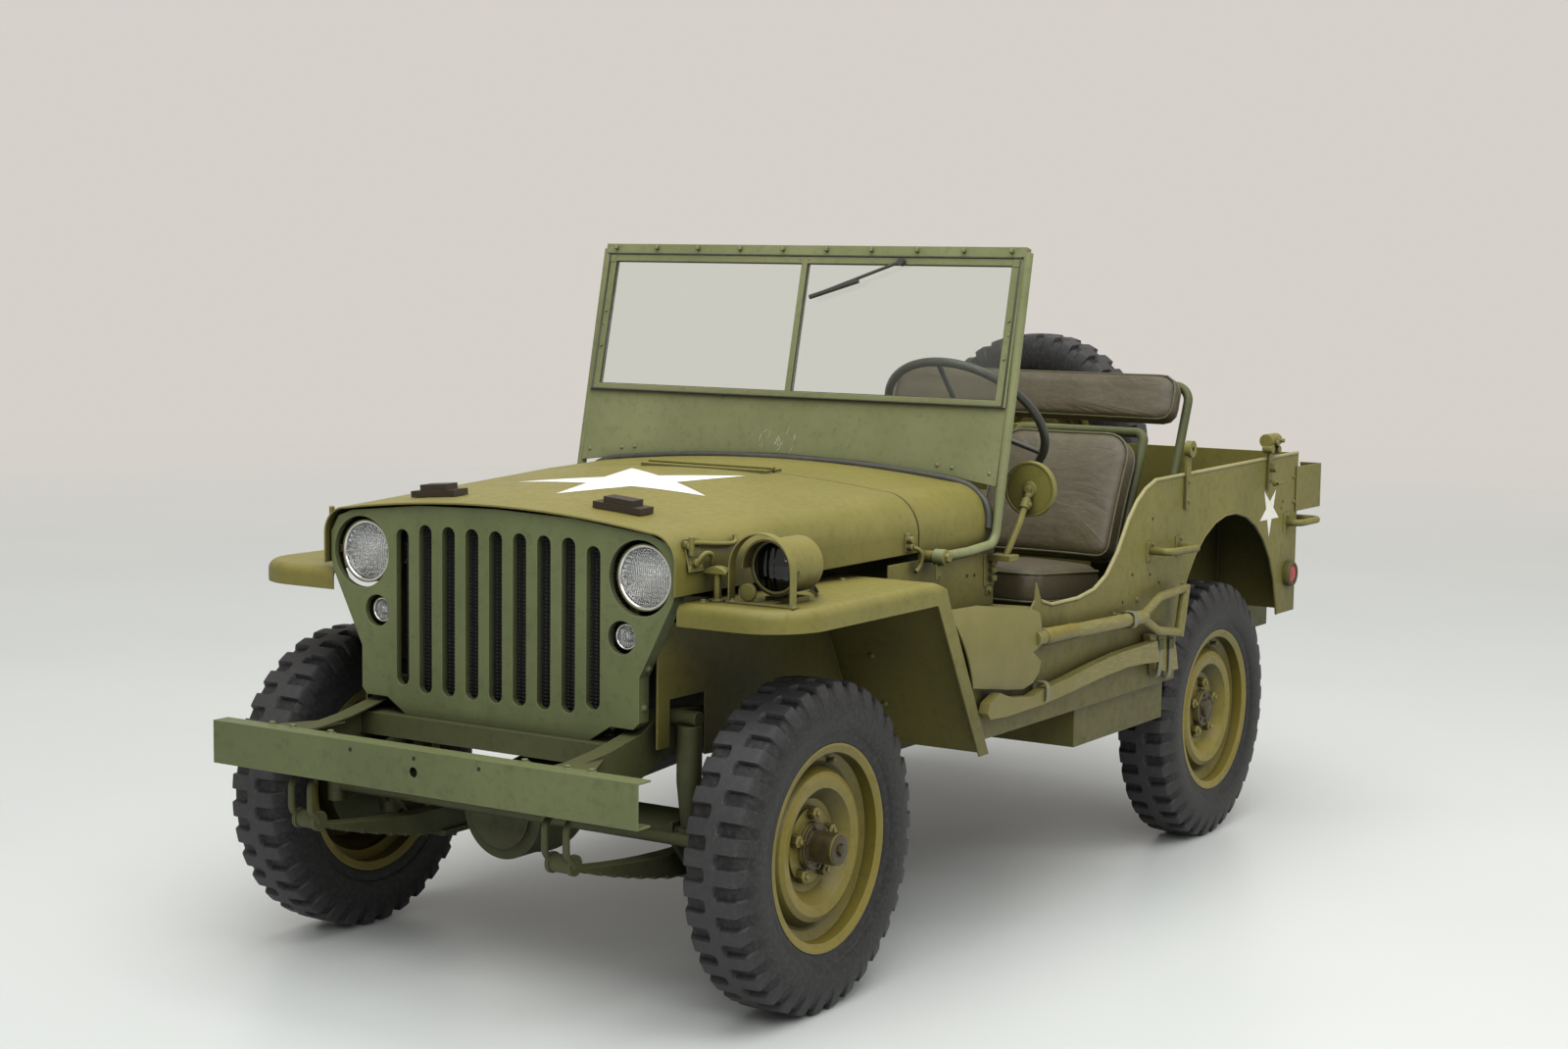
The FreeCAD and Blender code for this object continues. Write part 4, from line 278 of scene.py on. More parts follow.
def turned(profile, sides):
    """Vertices and faces of a profile of (radius, height) points turned about Z."""
    verts, faces, rings = [], [], []
    for r, z in profile:
        count = sides if r > 1e-6 else 1
        rings.append(range(len(verts), len(verts) + count))
        for i in range(count):
            angle = 2 * math.pi * (i + 0.5) / sides
            verts.append(Vector((r * math.cos(angle), r * math.sin(angle), z)))
    for one, two in zip(rings, rings[1:]):
        for i in range(sides):
            j = (i + 1) % sides
            loop = [one[i % len(one)], two[i % len(two)], two[j % len(two)], one[j % len(one)]]
            faces.append(list(dict.fromkeys(loop)))
    return verts, faces


def block(width, depth, tall, edge=0.001):
    """A plate standing on z = 0 with its upper edges bevelled."""
    w, d = width / 2, depth / 2
    verts = []
    for inset, z in ((0, 0), (0, tall - edge), (edge, tall)):
        around = ((-1, -1), (1, -1), (1, 1), (-1, 1))
        verts += [Vector((sx * (w - inset), sy * (d - inset), z)) for sx, sy in around]
    faces = [[0, 3, 2, 1], [8, 9, 10, 11]]
    for ring in (0, 4):
        faces += [[ring + i, ring + (i + 1) % 4, ring + 4 + (i + 1) % 4, ring + 4 + i] for i in range(4)]
    return verts, faces


def piece(name, forms, material, body, angle=35):
    """One piece made of several forms, each with the place where it stands."""
    bm = bmesh.new()
    for (verts, faces), place in forms:
        made = [bm.verts.new(place @ v) for v in verts]
        for face in faces:
            bm.faces.new([made[i] for i in face])
    bmesh.ops.recalc_face_normals(bm, faces=bm.faces)
    mesh = bpy.data.meshes.new(name)
    bm.to_mesh(mesh)
    bm.free()
    mesh.materials.append(material)
    made = smooth_object(name, mesh, angle)
    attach(made, body)
    return made


def faces_of(*names):
    """A search tree over the faces of CAD nodes, to set small pieces on them."""
    verts, loops = [], []
    for name in names:
        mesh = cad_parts[name].data
        first = len(verts)
        verts += [v.co.copy() for v in mesh.vertices]
        loops += [[first + i for i in face.vertices] for face in mesh.polygons]
    return BVHTree.FromPolygons(verts, loops)


def seat_on(tree, start, toward):
    """The place where a line from start meets the faces, with Z standing out of them."""
    toward = Vector(toward)
    spot, normal, _, _ = tree.ray_cast(Vector(start), toward)
    if spot is None:
        raise ValueError(f"nothing to sit on from {tuple(start)}")
    if normal.dot(toward) > 0:
        normal = -normal
    return Matrix.Translation(spot - normal * 0.0004) @ normal.to_track_quat("Z", "Y").to_matrix().to_4x4()


def bolt(place, size=0.007):
    """A hexagon head on its washer, by the head's radius."""
    spin = place @ Matrix.Rotation(0.4 + place.translation.x * 40, 4, "Z")
    head = turned(((0, 0.95 * size), (0.78 * size, 0.95 * size), (size, 0.78 * size), (size, 0.1 * size)), 6)
    washer = turned(((0.6 * size, 0.24 * size), (1.35 * size, 0.24 * size), (1.5 * size, 0.14 * size),
                          (1.5 * size, 0)), 18)
    return [(head, spin), (washer, spin)]


def rivet(place, size=0.006):
    dome = turned(((0, 0.55 * size), (0.5 * size, 0.48 * size), (0.85 * size, 0.28 * size), (size, 0)), 14)
    return [(dome, place)]


def screw_hole(place, size=0.004):
    """A bare tapped hole, as a shallow dish painted dark as the shadow inside it, with a thin lip."""
    return [(turned(((0, 0.0006), (size * 0.8, 0.0007), (size, 0.0011), (size * 1.15, 0.0004)), 14), place)]


def ahead(points, start, toward, kind, tree, **sizes):
    """Fasteners at points of a plane: the start fills in the coordinate left out."""
    forms = []
    for point in points:
        at = Vector(start)
        for axis, value in zip([i for i in range(3) if not toward[i]], point):
            at[axis] = value
        forms += kind(seat_on(tree, at, toward), **sizes)
    return forms


bumper_faces = faces_of("front_bumper")
piece("bumper_bolts", ahead([(x, -1.615) for x in (-0.43, -0.37, -0.262, 0.262, 0.37, 0.43)], (0, 0, 0.7),
                            (0, 0, -1), bolt, bumper_faces, size=0.0075), front_paint_with_painted_light, "chassis")
# near-black as painted shadow inside the holes, with rust-brown patches
painted_hole_shadow, tree = empty_material("bare_hole_shadow")
place = add(tree, "TexCoord").outputs["Object"]
rust = patches_of(tree, place, 300.0, 3.0)
tone = blend(tree, rust, linear("0d0c0a"), linear("2a2118"))
bump = add(tree, "Bump", {"Height": rust, "Strength": 0.4, "Distance": 0.001}).outputs[0]
finish_with(tree, Base_Color=tone, Roughness=0.85, Normal=bump)
piece("bumper_screw_holes", ahead([(0.002, 0.544), (0.174, 0.543), (-0.172, 0.543)], (0, -1.8, 0), (0, 1, 0),
                                  screw_hole, bumper_faces), painted_hole_shadow, "chassis")

grille_faces = faces_of("grille")
forms = []
for side in (1, -1):
    for z in (0.731, 0.648, 0.600):
        forms += bolt(seat_on(grille_faces, (side * 0.6, -1.368, z), (-side, 0, 0)), size=0.0065)
piece("grille_flange_bolts", forms, front_paint_with_painted_light, "chassis")

fender_faces = faces_of("fender_left", "fender_right")
forms = []
for side in (1, -1):
    for y in (-1.33, -1.17, -1.0, -0.86):
        forms += bolt(seat_on(fender_faces, (side * (0.49 + (y + 1.4) * 0.1), y, 1.0), (0, 0, -1)),
                      size=0.006)
    for z in (0.80, 0.68, 0.56):
        start = (side * 0.50, -1.0, z)
        forms += bolt(seat_on(fender_faces, start, (0, 1, 0)), size=0.006)
piece("fender_bolts", forms, body_paint, "chassis")

side_faces = {1: faces_of("body_side_left"), -1: faces_of("body_side_right")}
cowl_faces = faces_of("cowl")
holes, bolts = [], []
for side in (1, -1):
    start, toward = (side * 0.9, 0, 0), (-side, 0, 0)
    holes += ahead([(-0.381, 0.842), (-0.350, 0.841)], start, toward, screw_hole, cowl_faces)
    holes += ahead([(0.262, 0.791), (0.369, 0.781), (0.208, 0.727), (0.377, 0.924), (0.425, 0.755)], start,
                   toward,
                   screw_hole, side_faces[side])
    bolts += ahead([(1.346, 0.969), (1.352, 0.897), (1.270, 0.906), (1.262, 0.888), (0.293, 0.724),
                    (0.160, 0.700)], start, toward, bolt, side_faces[side], size=0.0055)
piece("side_screw_holes", holes, painted_hole_shadow, "chassis")
piece("side_bolts", bolts, body_paint, "chassis")

bracket_faces = faces_of("body_brackets")
rear_faces = faces_of("rear_body")
forms = []
for side in (1, -1):
    start, toward = (side * 0.9, 0, 0), (-side, 0, 0)
    forms += ahead([(0.582, 0.955), (0.582, 1.007), (1.151, 0.972)], start, toward, bolt, bracket_faces,
                   size=0.006)
    forms += ahead([(side * x, z) for x in (0.50, 0.62) for z in (0.655, 0.785)], (0, 2.0, 0), (0, -1, 0),
                   bolt,
                   rear_faces, size=0.006)
forms += ahead([(-0.212 + x, z) for x in (-0.14, 0.14) for z in (0.76, 0.86, 0.96)], (0, 1.9, 0),
               (0, -1, 0), bolt,
               bracket_faces, size=0.009)
piece("bracket_bolts", forms, body_paint, "chassis")

windshield_faces = faces_of("windshield_frame")
forms = ahead([(side * x, z) for side in (1, -1) for x,
               z in ((0.488, 1.083), (0.447, 1.087), (0.590, 1.075))],
              (0, -0.7, 0), (0, 1, 0), rivet, windshield_faces, size=0.0055)
forms += ahead([(side * x, z) for side in (1, -1) for x, z in ((0.598, 1.575), (0.598, 1.235), (0.012, 1.575),
                                                                (0.598, 1.40))],
               (0, -0.7, 0), (0, 1, 0), rivet, windshield_faces, size=0.004)
piece("windshield_rivets", forms, windshield_paint, "windshield")

# ---- Castings and pipes -------------------------------------------------------
# Engine, gearbox, radiator core and exhaust: sand-cast iron and steel pipe under
# thin black paint, dull and dusty.  The radiator shows rows of thin fins.

dull_iron, tree = empty_material("dull_black_painted_iron")
place = add(tree, "TexCoord").outputs["Object"]
cast = patches_of(tree, place, 140.0, 4.0)
tone = blend(tree, cast, linear("1d1c1a"), linear("3a3833"))
bump = add(tree, "Bump", {"Height": cast, "Strength": 0.3, "Distance": 0.001}).outputs[0]
finish_with(tree, Base_Color=tone, Roughness=0.7, Normal=bump)
dress(("engine_block", "drive_line", "exhaust"), dull_iron)

core_black, tree = empty_material("black_radiator_fins")
place = add(tree, "TexCoord").outputs["Object"]
# fins 8 mm apart, drawn coarser than the real 3 mm so that they show
fins = add(tree, "TexWave", {"Vector": place, "Scale": 39.0, "Distortion": 0.6, "Detail": 1.0},
           bands_direction="Z").outputs["Fac"]
tubes = add(tree, "TexWave", {"Vector": place, "Scale": 26.0, "Distortion": 0.4}, bands_direction="X")
mesh_fac = add(tree, "Math", {0: fins, 1: tubes.outputs["Fac"]}, operation="MULTIPLY").outputs[0]
tone = blend(tree, mesh_fac, linear("0b0b0c"), linear("3c3b3a"))
bump = add(tree, "Bump", {"Height": mesh_fac, "Strength": 0.8, "Distance": 0.003}).outputs[0]
finish_with(tree, Base_Color=tone, Roughness=0.55, Normal=bump)
dress(("radiator",), core_black)

# ---- Tyres --------------------------------------------------------------------
# Moulded black rubber, bar tread: a solid centre band with deep rounded pockets
# cut in from each shoulder, set half a pitch apart.  Rubber greys with dust, most
# on the lugs' faces.

tyre_rubber, tree = empty_material("moulded_tyre_rubber")
place = add(tree, "TexCoord").outputs["Object"]
grain = add(tree, "TexNoise", {"Vector": place, "Scale": 90.0, "Detail": 7.0, "Roughness": 0.7})
wear = add(tree, "Attribute", attribute_name="lug").outputs["Fac"]
tone = blend(tree, wear, linear("121214"), linear("303031"))
speck = add(tree, "MapRange", {0: grain.outputs["Fac"], 1: 0.45, 2: 0.7, 3: 0.0, 4: 0.45}).outputs[0]
tone = blend(tree, speck, tone, linear("454340"))
bump = add(tree, "Bump", {"Height": grain.outputs["Fac"], "Strength": 0.35, "Distance": 0.001}).outputs[0]
finish_with(tree, Base_Color=tone, Roughness=0.55, Specular_IOR_Level=0.35, Normal=bump)


# one side of the section, crown to bead: across, radius on a lug, radius in a pocket
TYRE_SECTION = (
    (0.0000, 0.3515, 0.3515), (0.0090, 0.3515, 0.3515), (0.0130, 0.3514, 0.3460), (0.0170, 0.3513, 0.3412),
    (0.0240, 0.3512, 0.3405), (0.0380, 0.3508, 0.3400), (0.0500, 0.3503, 0.3392), (0.0560, 0.3498, 0.3385),
    (0.0600, 0.3490, 0.3372))
TYRE_SHOULDER = (
    ((0.0632, 0.3455), (0.0615, 0.3352)), ((0.0665, 0.3385), (0.0650, 0.3310)),
    ((0.0712, 0.3270), (0.0690, 0.3235)), ((0.0752, 0.3150), (0.0738, 0.3135)),
    ((0.0776, 0.3030), (0.0772, 0.3028)))
TYRE_WALL = ((0.0790, 0.2900), (0.0794, 0.2780), (0.0786, 0.2660), (0.0770, 0.2550), (0.0750, 0.2480),
             (0.0745, 0.2465), (0.0722, 0.2440), (0.0705, 0.2350), (0.0700, 0.2290), (0.0672, 0.2225),
             (0.0612, 0.2222), (0.0600, 0.2140))
POCKETS = 34
POCKET_STEPS = (0.0, 0.1, 0.19, 0.25, 0.31, 0.4, 0.5, 0.6, 0.69, 0.75, 0.81, 0.9)


def pocket_share(step, row):
    """How far a point of the tread is up on a lug, from 0 to 1.  The pocket's inner
    end is rounded, so it is narrower there."""
    away = min(step, 1 - step)
    narrow = (0.0, 0.0, 0.10, 0.19)[row] if row < 4 else 0.19
    if row < 2 or away > narrow + 0.001:
        return 1.0
    return 0.0


def tyre_mesh():
    verts, faces, lug = [], [], []
    rows = []
    for side in (-1, 1):
        half = [("tread", i) for i in range(len(TYRE_SECTION))]
        half += [("shoulder", i) for i in range(len(TYRE_SHOULDER))]
        half += [("wall", i) for i in range(len(TYRE_WALL))]
        rows += [(side, part, i) for part, i in (half[::-1] if side < 0 else half[1:])]
    for pitch in range(POCKETS):
        for step in POCKET_STEPS:
            angle = 2 * math.pi * (pitch + step) / POCKETS
            for side, part, i in rows:
                shift = step if side > 0 else (step + 0.5) % 1
                if part == "wall":
                    x, r = TYRE_WALL[i]
                    up = 0.15 if i < 3 else 0.0
                elif part == "shoulder":
                    up = pocket_share(shift, 9)
                    fade = up * (1 - i / len(TYRE_SHOULDER))
                    x, r = TYRE_SHOULDER[i][0] if up > 0.5 else TYRE_SHOULDER[i][1]
                    up = fade * 0.8
                else:
                    x, high, low = TYRE_SECTION[i]
                    up = pocket_share(shift, i)
                    r = high if up > 0.5 else low
                verts.append((side * x, r * math.sin(angle), r * math.cos(angle)))
                lug.append(up)
    count, rings = len(rows), POCKETS * len(POCKET_STEPS)
    for a in range(rings):
        b = (a + 1) % rings
        for j in range(count - 1):
            faces.append((a * count + j, b * count + j, b * count + j + 1, a * count + j + 1))
    mesh = bpy.data.meshes.new("tyre")
    mesh.from_pydata(verts, [], faces)
    mesh.attributes.new("lug", "FLOAT", "POINT").data.foreach_set("value", lug)
    mesh.materials.append(tyre_rubber)
    return mesh


tyre_data = tyre_mesh()
TYRE_NODES = {"tyre_front_left": "wheel_front_left", "tyre_front_right": "wheel_front_right",
              "tyre_rear_left": "wheel_rear_left", "tyre_rear_right": "wheel_rear_right",
              "spare_tyre": "chassis"}
for node_name, body in TYRE_NODES.items():
    low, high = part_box(node_name)
    tyre = smooth_object("bar_tread_" + node_name, tyre_data, 30)
    turn = Matrix.Rotation(math.radians(90), 4, "Z") if body == "chassis" else Matrix.Identity(4)
    tyre.matrix_world = Matrix.Translation((low + high) / 2) @ turn
    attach(tyre, body)
    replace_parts(tyre, node_name)

# ---- Wheel hubs --------------------------------------------------------------------
# Steel drive flange on six bolts and a turned cap, brown with old grease, five
# wheel nuts on studs, and the tyre's valve.

greasy_steel, tree = empty_material("greasy_brown_steel")
place = add(tree, "TexCoord").outputs["Object"]
film = patches_of(tree, place, 55.0, 7.0, 0.65)
tone = blend(tree, film, linear("1c170e"), linear("54492a"))
gloss = add(tree, "MapRange", {0: film, 1: 0.3, 2: 0.7, 3: 0.3, 4: 0.62}).outputs[0]
bump = add(tree, "Bump", {"Height": film, "Strength": 0.4, "Distance": 0.001}).outputs[0]
finish_with(tree, Base_Color=tone, Roughness=gloss, Metallic=0.25, Normal=bump)

Y_TURN = Matrix.Rotation(math.radians(90), 4, "Y")
# turns that stand a form out of the car's left (1) or right (-1) side
OUT = {1: Y_TURN, -1: Y_TURN.inverted()}
STUD_CIRCLE = 0.070
for name, body in list(TYRE_NODES.items())[:4]:
    low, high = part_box(name)
    centre = (low + high) / 2
    side = 1 if centre.x > 0 else -1
    hub = Matrix.Translation(centre) @ OUT[side]
    greasy, nuts = [], []
    if "front" in name:
        greasy.append((turned(((0.0342, 0.0405), (0.0345, 0.045), (0.0345, 0.086), (0.0335, 0.0905)), 40),
                       hub))
        greasy.append((turned(((0.050, 0.0302), (0.0498, 0.0345), (0.0485, 0.036), (0.037, 0.036),
                                    (0.0365, 0.0402), (0.034, 0.0405)), 40), hub))
        greasy.append((turned(((0.033, 0.0915), (0.0325, 0.0935), (0.030, 0.0945), (0.014, 0.0945)), 40),
                       hub))
        greasy.append((turned(((0, 0.1035), (0.008, 0.1035), (0.0125, 0.1015), (0.013, 0.0945)), 6), hub))
        bolt_ring, bolt_height = 0.0432, 0.0362
    else:
        greasy.append((turned(((0.050, 0.0302), (0.0498, 0.0365), (0.048, 0.038), (0.026, 0.038),
                                    (0.024, 0.046), (0.018, 0.050), (0, 0.050)), 40), hub))
        bolt_ring, bolt_height = 0.038, 0.0382
    for k in range(6):
        turn = Matrix.Rotation(math.radians(60 * k + 10), 4, "Z")
        greasy += bolt(hub @ turn @ Matrix.Translation((bolt_ring, 0, bolt_height)), size=0.0052)
    for k in range(5):
        angle = math.radians(72 * k + 18)
        at = Vector((side * 0.0115, side * STUD_CIRCLE * math.cos(angle), STUD_CIRCLE * math.sin(angle)))
        stud = Matrix.Translation(centre + at) @ OUT[side]
        nuts.append((turned(((0.0066, 0.0262), (0.0105, 0.0262), (0.0142, 0.0235), (0.0145, 0.003),
                                  (0.017, 0.0)), 6), stud))
        nuts.append((turned(((0, 0.032), (0.0055, 0.0315), (0.0066, 0.030), (0.0066, 0.022)), 14), stud))
    valve = Matrix.Translation(centre + Vector((side * 0.002, side * 0.055, 0.168)))
    valve = valve @ OUT[side] @ Matrix.Rotation(math.radians(-12), 4, "Y")
    nuts.append((turned(((0.0055, 0), (0.0045, 0.012), (0.0038, 0.030), (0.0050, 0.031), (0.0050, 0.042),
                              (0.004, 0.044), (0, 0.044)), 14), valve))
    piece("hub_" + body, greasy, greasy_steel, body)
    piece("wheel_nuts_" + body, nuts, wheel_paint, body)

# ---- Rolled edges ---------------------------------------------------------------
# The side panels' edges are rolled over a wire along the door opening, the top and
# the wheel arches.  Boots and hands have rubbed them paler than the sheet.


def edge_line(node_name, toward, keep):
    """The points of a CAD node's outline on its face that looks one way, in order."""
    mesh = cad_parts[node_name].data
    faces = {}
    for face in mesh.polygons:
        flat = face.normal.dot(Vector(toward)) > 0.95
        keys = [tuple(round(c, 5) for c in mesh.vertices[i].co) for i in face.vertices]
        for a, b in zip(keys, keys[1:] + keys[:1]):
            faces.setdefault(frozenset((a, b)), []).append(flat)
    links = {}
    for edge, flats in faces.items():
        if len(edge) == 2 and flats.count(True) == 1 and all(keep(*point) for point in edge):
            a, b = edge
            links.setdefault(a, []).append(b)
            links.setdefault(b, []).append(a)
    at = min((p for p, near in links.items() if len(near) == 1), key=lambda p: p[1])
    line = [at]
    while True:
        onward = [p for p in links[at] if p not in line]
        if not onward:
            return line
        at = onward[0]
        line.append(at)


def round_bar(name, runs, radius, material, body, kind="POLY", closed=False):
    """A bar of round section along one or more lines of points."""
    curve = bpy.data.curves.new(name, "CURVE")
    curve.dimensions = "3D"
    curve.bevel_depth = radius
    curve.bevel_resolution = 3
    curve.resolution_u = 6
    curve.use_fill_caps = True
    for points in runs:
        spline = curve.splines.new(kind)
        spline.points.add(len(points) - 1)
        for spot, point in zip(spline.points, points):
            spot.co = (*point, 1)
        spline.use_cyclic_u = closed
        if kind == "NURBS":
            spline.order_u = 3
            spline.use_endpoint_u = not closed
        spline.use_smooth = True
    curve.materials.append(material)
    made = bpy.data.objects.new(name, curve)
    bpy.context.scene.collection.objects.link(made)
    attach(made, body)
    return made


rubbed_edge = olive_paint("rubbed_olive_edge_paint", "8b8455", "a29a6c", "565132", rough=0.45, edge=0.7)
ARCH_MIDDLE, ARCH_RADIUS = (0.895, 0.540), 0.358
SHEET = 0.004
for side, name in ((1, "body_side_left"), (-1, "body_side_right")):

    def in_arch(x, y, z):
        return math.hypot(y - ARCH_MIDDLE[0], z - ARCH_MIDDLE[1]) < ARCH_RADIUS + 0.004

    def on_top(x, y, z):
        return abs(x) > 0.7 and z > 0.7635 and y > -0.25 and not in_arch(x, y, z)

    def on_arch(x, y, z):
        return abs(x) > 0.7 and z > 0.545 and in_arch(x, y, z)

    top = edge_line(name, (side, 0, 0), on_top)
    arch = edge_line(name, (side, 0, 0), on_arch)
    inward = Vector((-side * SHEET / 2, 0, 0))
    round_bar("rolled_edge_" + name, [[Vector(p) + inward for p in top]], 0.0052, rubbed_edge, "chassis")
    round_bar("arch_edge_" + name, [[Vector(p) + inward for p in arch]], 0.0042, body_paint, "chassis")

# ---- Hood: star and side catches --------------------------------------------------
# A white five-pointed star brushed over a stencil, thin and chipped so the olive
# shows through.  Each side has a sprung catch on a riveted plate, and two oiled
# wooden blocks on top take the windshield when it is folded.

star_white, tree = empty_material("brushed_white_enamel")
place = add(tree, "TexCoord").outputs["Object"]
chips = patches_of(tree, place, 70.0, 9.0, 0.75)
brushed = patches_of(tree, place, 22.0, 3.0)
bare = add(tree, "MapRange", {0: chips, 1: 0.62, 2: 0.68, 3: 0.0, 4: 0.85}).outputs[0]
tone = blend(tree, brushed, linear("dedccf"), linear("f3f1e8"))
tone = blend(tree, bare, tone, linear("8a8458"))
bump = add(tree, "Bump", {"Height": brushed, "Strength": 0.2, "Distance": 0.0005}).outputs[0]
finish_with(tree, Base_Color=tone, Roughness=0.45, Normal=bump)


def painted_star(name, tree, centre, radius, tip, toward, body, steps=14):
    """A five-pointed star laid on the faces that lines along toward meet."""
    tip, toward = Vector(tip), Vector(toward)
    across = tip.cross(toward)
    outline = []
    for k in range(10):
        angle, reach = math.radians(36 * k), radius * (1 if k % 2 == 0 else 0.382)
        outline.append(tip * (reach * math.cos(angle)) + across * (reach * math.sin(angle)))
    bm = bmesh.new()
    for a, b in zip(outline, outline[1:] + outline[:1]):
        rows = []
        for i in range(steps + 1):
            row = []
            for j in range(i + 1):
                flat = Vector(centre) + a * ((i - j) / steps) + b * (j / steps)
                spot = tree.ray_cast(flat - toward * 0.5, toward)[0]
                row.append(bm.verts.new(spot - toward * 0.0007))
            rows.append(row)
        for i in range(steps):
            for j in range(i + 1):
                bm.faces.new([rows[i][j], rows[i + 1][j], rows[i + 1][j + 1]])
                if j < i:
                    bm.faces.new([rows[i][j], rows[i + 1][j + 1], rows[i][j + 1]])
    bmesh.ops.remove_doubles(bm, verts=bm.verts, dist=1e-5)
    bmesh.ops.recalc_face_normals(bm, faces=bm.faces)
    mesh = bpy.data.meshes.new(name)
    bm.to_mesh(mesh)
    bm.free()
    mesh.materials.append(star_white)
    made = smooth_object(name, mesh, 60)
    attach(made, body)
    return made


hood_faces = faces_of("hood")
painted_star("hood_star", hood_faces, (0, -0.899, 1.06), 0.279, (0, -1, 0), (0, 0, -1), "hood")
for side, name in ((1, "left"), (-1, "right")):
    painted_star("side_star_" + name, side_faces[side], (side * 0.72, 1.171, 0.882), 0.074, (0, 0, -1),
                 (-side, 0, 0), "chassis", steps=4)


oiled_wood, tree = empty_material("dark_oiled_wood")
place = add(tree, "TexCoord").outputs["Object"]
# grain 4 mm apart along the blocks
long_grain = add(tree, "Mapping", {"Vector": place, "Scale": (10.0, 90.0, 90.0)}).outputs[0]
rings = patches_of(tree, long_grain, 3.0, 7.0)
tone = blend(tree, rings, linear("17110c"), linear("3d3022"))
bump = add(tree, "Bump", {"Height": rings, "Strength": 0.4, "Distance": 0.0012}).outputs[0]
finish_with(tree, Base_Color=tone, Roughness=0.55, Normal=bump)
dress(("hood_blocks",), oiled_wood)


def knuckle(radius, length):
    """A short turned barrel with eased ends, standing on z = 0."""
    e = radius * 0.18
    return turned(((0, length), (radius - e, length), (radius, length - e), (radius, e), (radius - e, 0),
                        (0, 0)), 16)


X_TURN = Matrix.Rotation(math.radians(-90), 4, "X")
for side, name in ((1, "left"), (-1, "right")):

    def on_hood(y, z, out):
        """A point that far outside the hood's side."""
        spot = seat_on(hood_faces, (side * 0.9, y, z), (-side, 0, 0)).translation
        return spot + Vector((side * out, 0, 0))

    plate = seat_on(hood_faces, (side * 0.9, -1.345, 0.972), (-side, 0, 0))
    rear = seat_on(hood_faces, (side * 0.9, -0.622, 0.940), (-side, 0, 0))
    forms = [(block(0.046, 0.070, 0.003), plate), (block(0.020, 0.044, 0.003), rear)]
    for y, z in ((-0.017, 0.026), (0.017, 0.026), (-0.017, -0.026), (0.017, -0.026)):
        forms += rivet(plate @ Matrix.Translation((y, z, 0.003)), size=0.004)
    for z in (-0.015, 0.015):
        forms += rivet(rear @ Matrix.Translation((0, z, 0.003)), size=0.0045)
    for y, z in ((-1.362, 0.992), (-1.352, 0.958), (-0.622, 0.946), (-0.622, 0.930)):
        spot = on_hood(y, z, 0.001)
        forms.append((knuckle(0.0085, 0.016), Matrix.Translation(spot) @ OUT[side]))
    forms.append((knuckle(0.006, 0.040), Matrix.Translation(on_hood(-1.362, 0.972, 0.010))))
    forms.append((knuckle(0.005, 0.032), Matrix.Translation(on_hood(-0.622, 0.922, 0.010))))
    piece("hood_catch_plates_" + name, forms, body_paint, "hood")
    lever = [on_hood(-1.372, 0.996, 0.012), on_hood(-1.340, 0.997, 0.013), on_hood(-1.285, 0.990, 0.012),
             on_hood(-1.225, 0.986, 0.012), on_hood(-1.214, 0.994, 0.012), on_hood(-1.214, 1.004, 0.016)]
    hook = [on_hood(-1.352, 0.956, 0.012), on_hood(-1.345, 0.974, 0.022), on_hood(-1.322, 0.978, 0.026),
            on_hood(-1.308, 0.962, 0.020), on_hood(-1.306, 0.940, 0.014)]
    catch = on_hood(-0.622, 0.930, 0.016)
    rear_hook = [catch, catch + Vector((side * 0.010, 0.012, -0.004)),
                 catch + Vector((side * 0.012, 0.022, -0.022)),
                 catch + Vector((side * 0.006, 0.020, -0.048)), catch + Vector((side * 0.004, 0.006, -0.056))]
    round_bar("hood_catch_levers_" + name, [lever, hook, rear_hook], 0.0052, body_paint, "hood", kind="NURBS")

# ---- Glass --------------------------------------------------------------------
# Flat windshield panes, clear with the faint green of plate glass.  The lamps'
# pressed lenses are made with the lamps.

clear_glass, tree = empty_material("clear_plate_glass")
shader = add(tree, "BsdfPrincipled", {"Base Color": linear("f1f6f2"), "Roughness": 0.02, "IOR": 1.45,
                                      "Transmission Weight": 1.0})
passing = add(tree, "BsdfTransparent", {"Color": linear("e8eee9")})
shadow_ray = add(tree, "LightPath").outputs["Is Shadow Ray"]
mixed = add(tree, "MixShader", {0: shadow_ray, 1: shader.outputs[0], 2: passing.outputs[0]})
add(tree, "OutputMaterial", {"Surface": mixed.outputs[0]})
dress(("windshield_glass",), clear_glass)

# ---- Windshield: hooks, seals and gasket -------------------------------------------
# Cast hooks along the top for the canvas, rubber strips between the sash, its frame
# and the glass, and a thick rubber gasket where the lower panel meets the cowl.

black_rubber, tree = empty_material("aged_black_rubber")
place = add(tree, "TexCoord").outputs["Object"]
bloom = patches_of(tree, place, 38.0, 6.0, 0.6)
tone = blend(tree, bloom, linear("1d1d1b"), linear("474740"))
bump = add(tree, "Bump", {"Height": bloom, "Strength": 0.25, "Distance": 0.001}).outputs[0]
finish_with(tree, Base_Color=tone, Roughness=0.55, Normal=bump)
dress(("wiper",), black_rubber)

glass_low, glass_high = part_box("windshield_glass")
RAKE = math.radians(13)
glass_middle = (glass_low + glass_high) / 2
OUTWARD = Vector((0, -math.cos(RAKE), math.sin(RAKE)))


def on_windshield(x, z, out):
    """A point on the windshield's sloping plane, moved out of it to the front."""
    y = glass_middle.y + (z - glass_middle.z) * math.tan(RAKE)
    return Vector((x, y, z)) + OUTWARD * out


def sash_loop(x0, x1, z0, z1, out):
    return [on_windshield(x, z, out) for x, z in ((x0, z0), (x1, z0), (x1, z1), (x0, z1))]


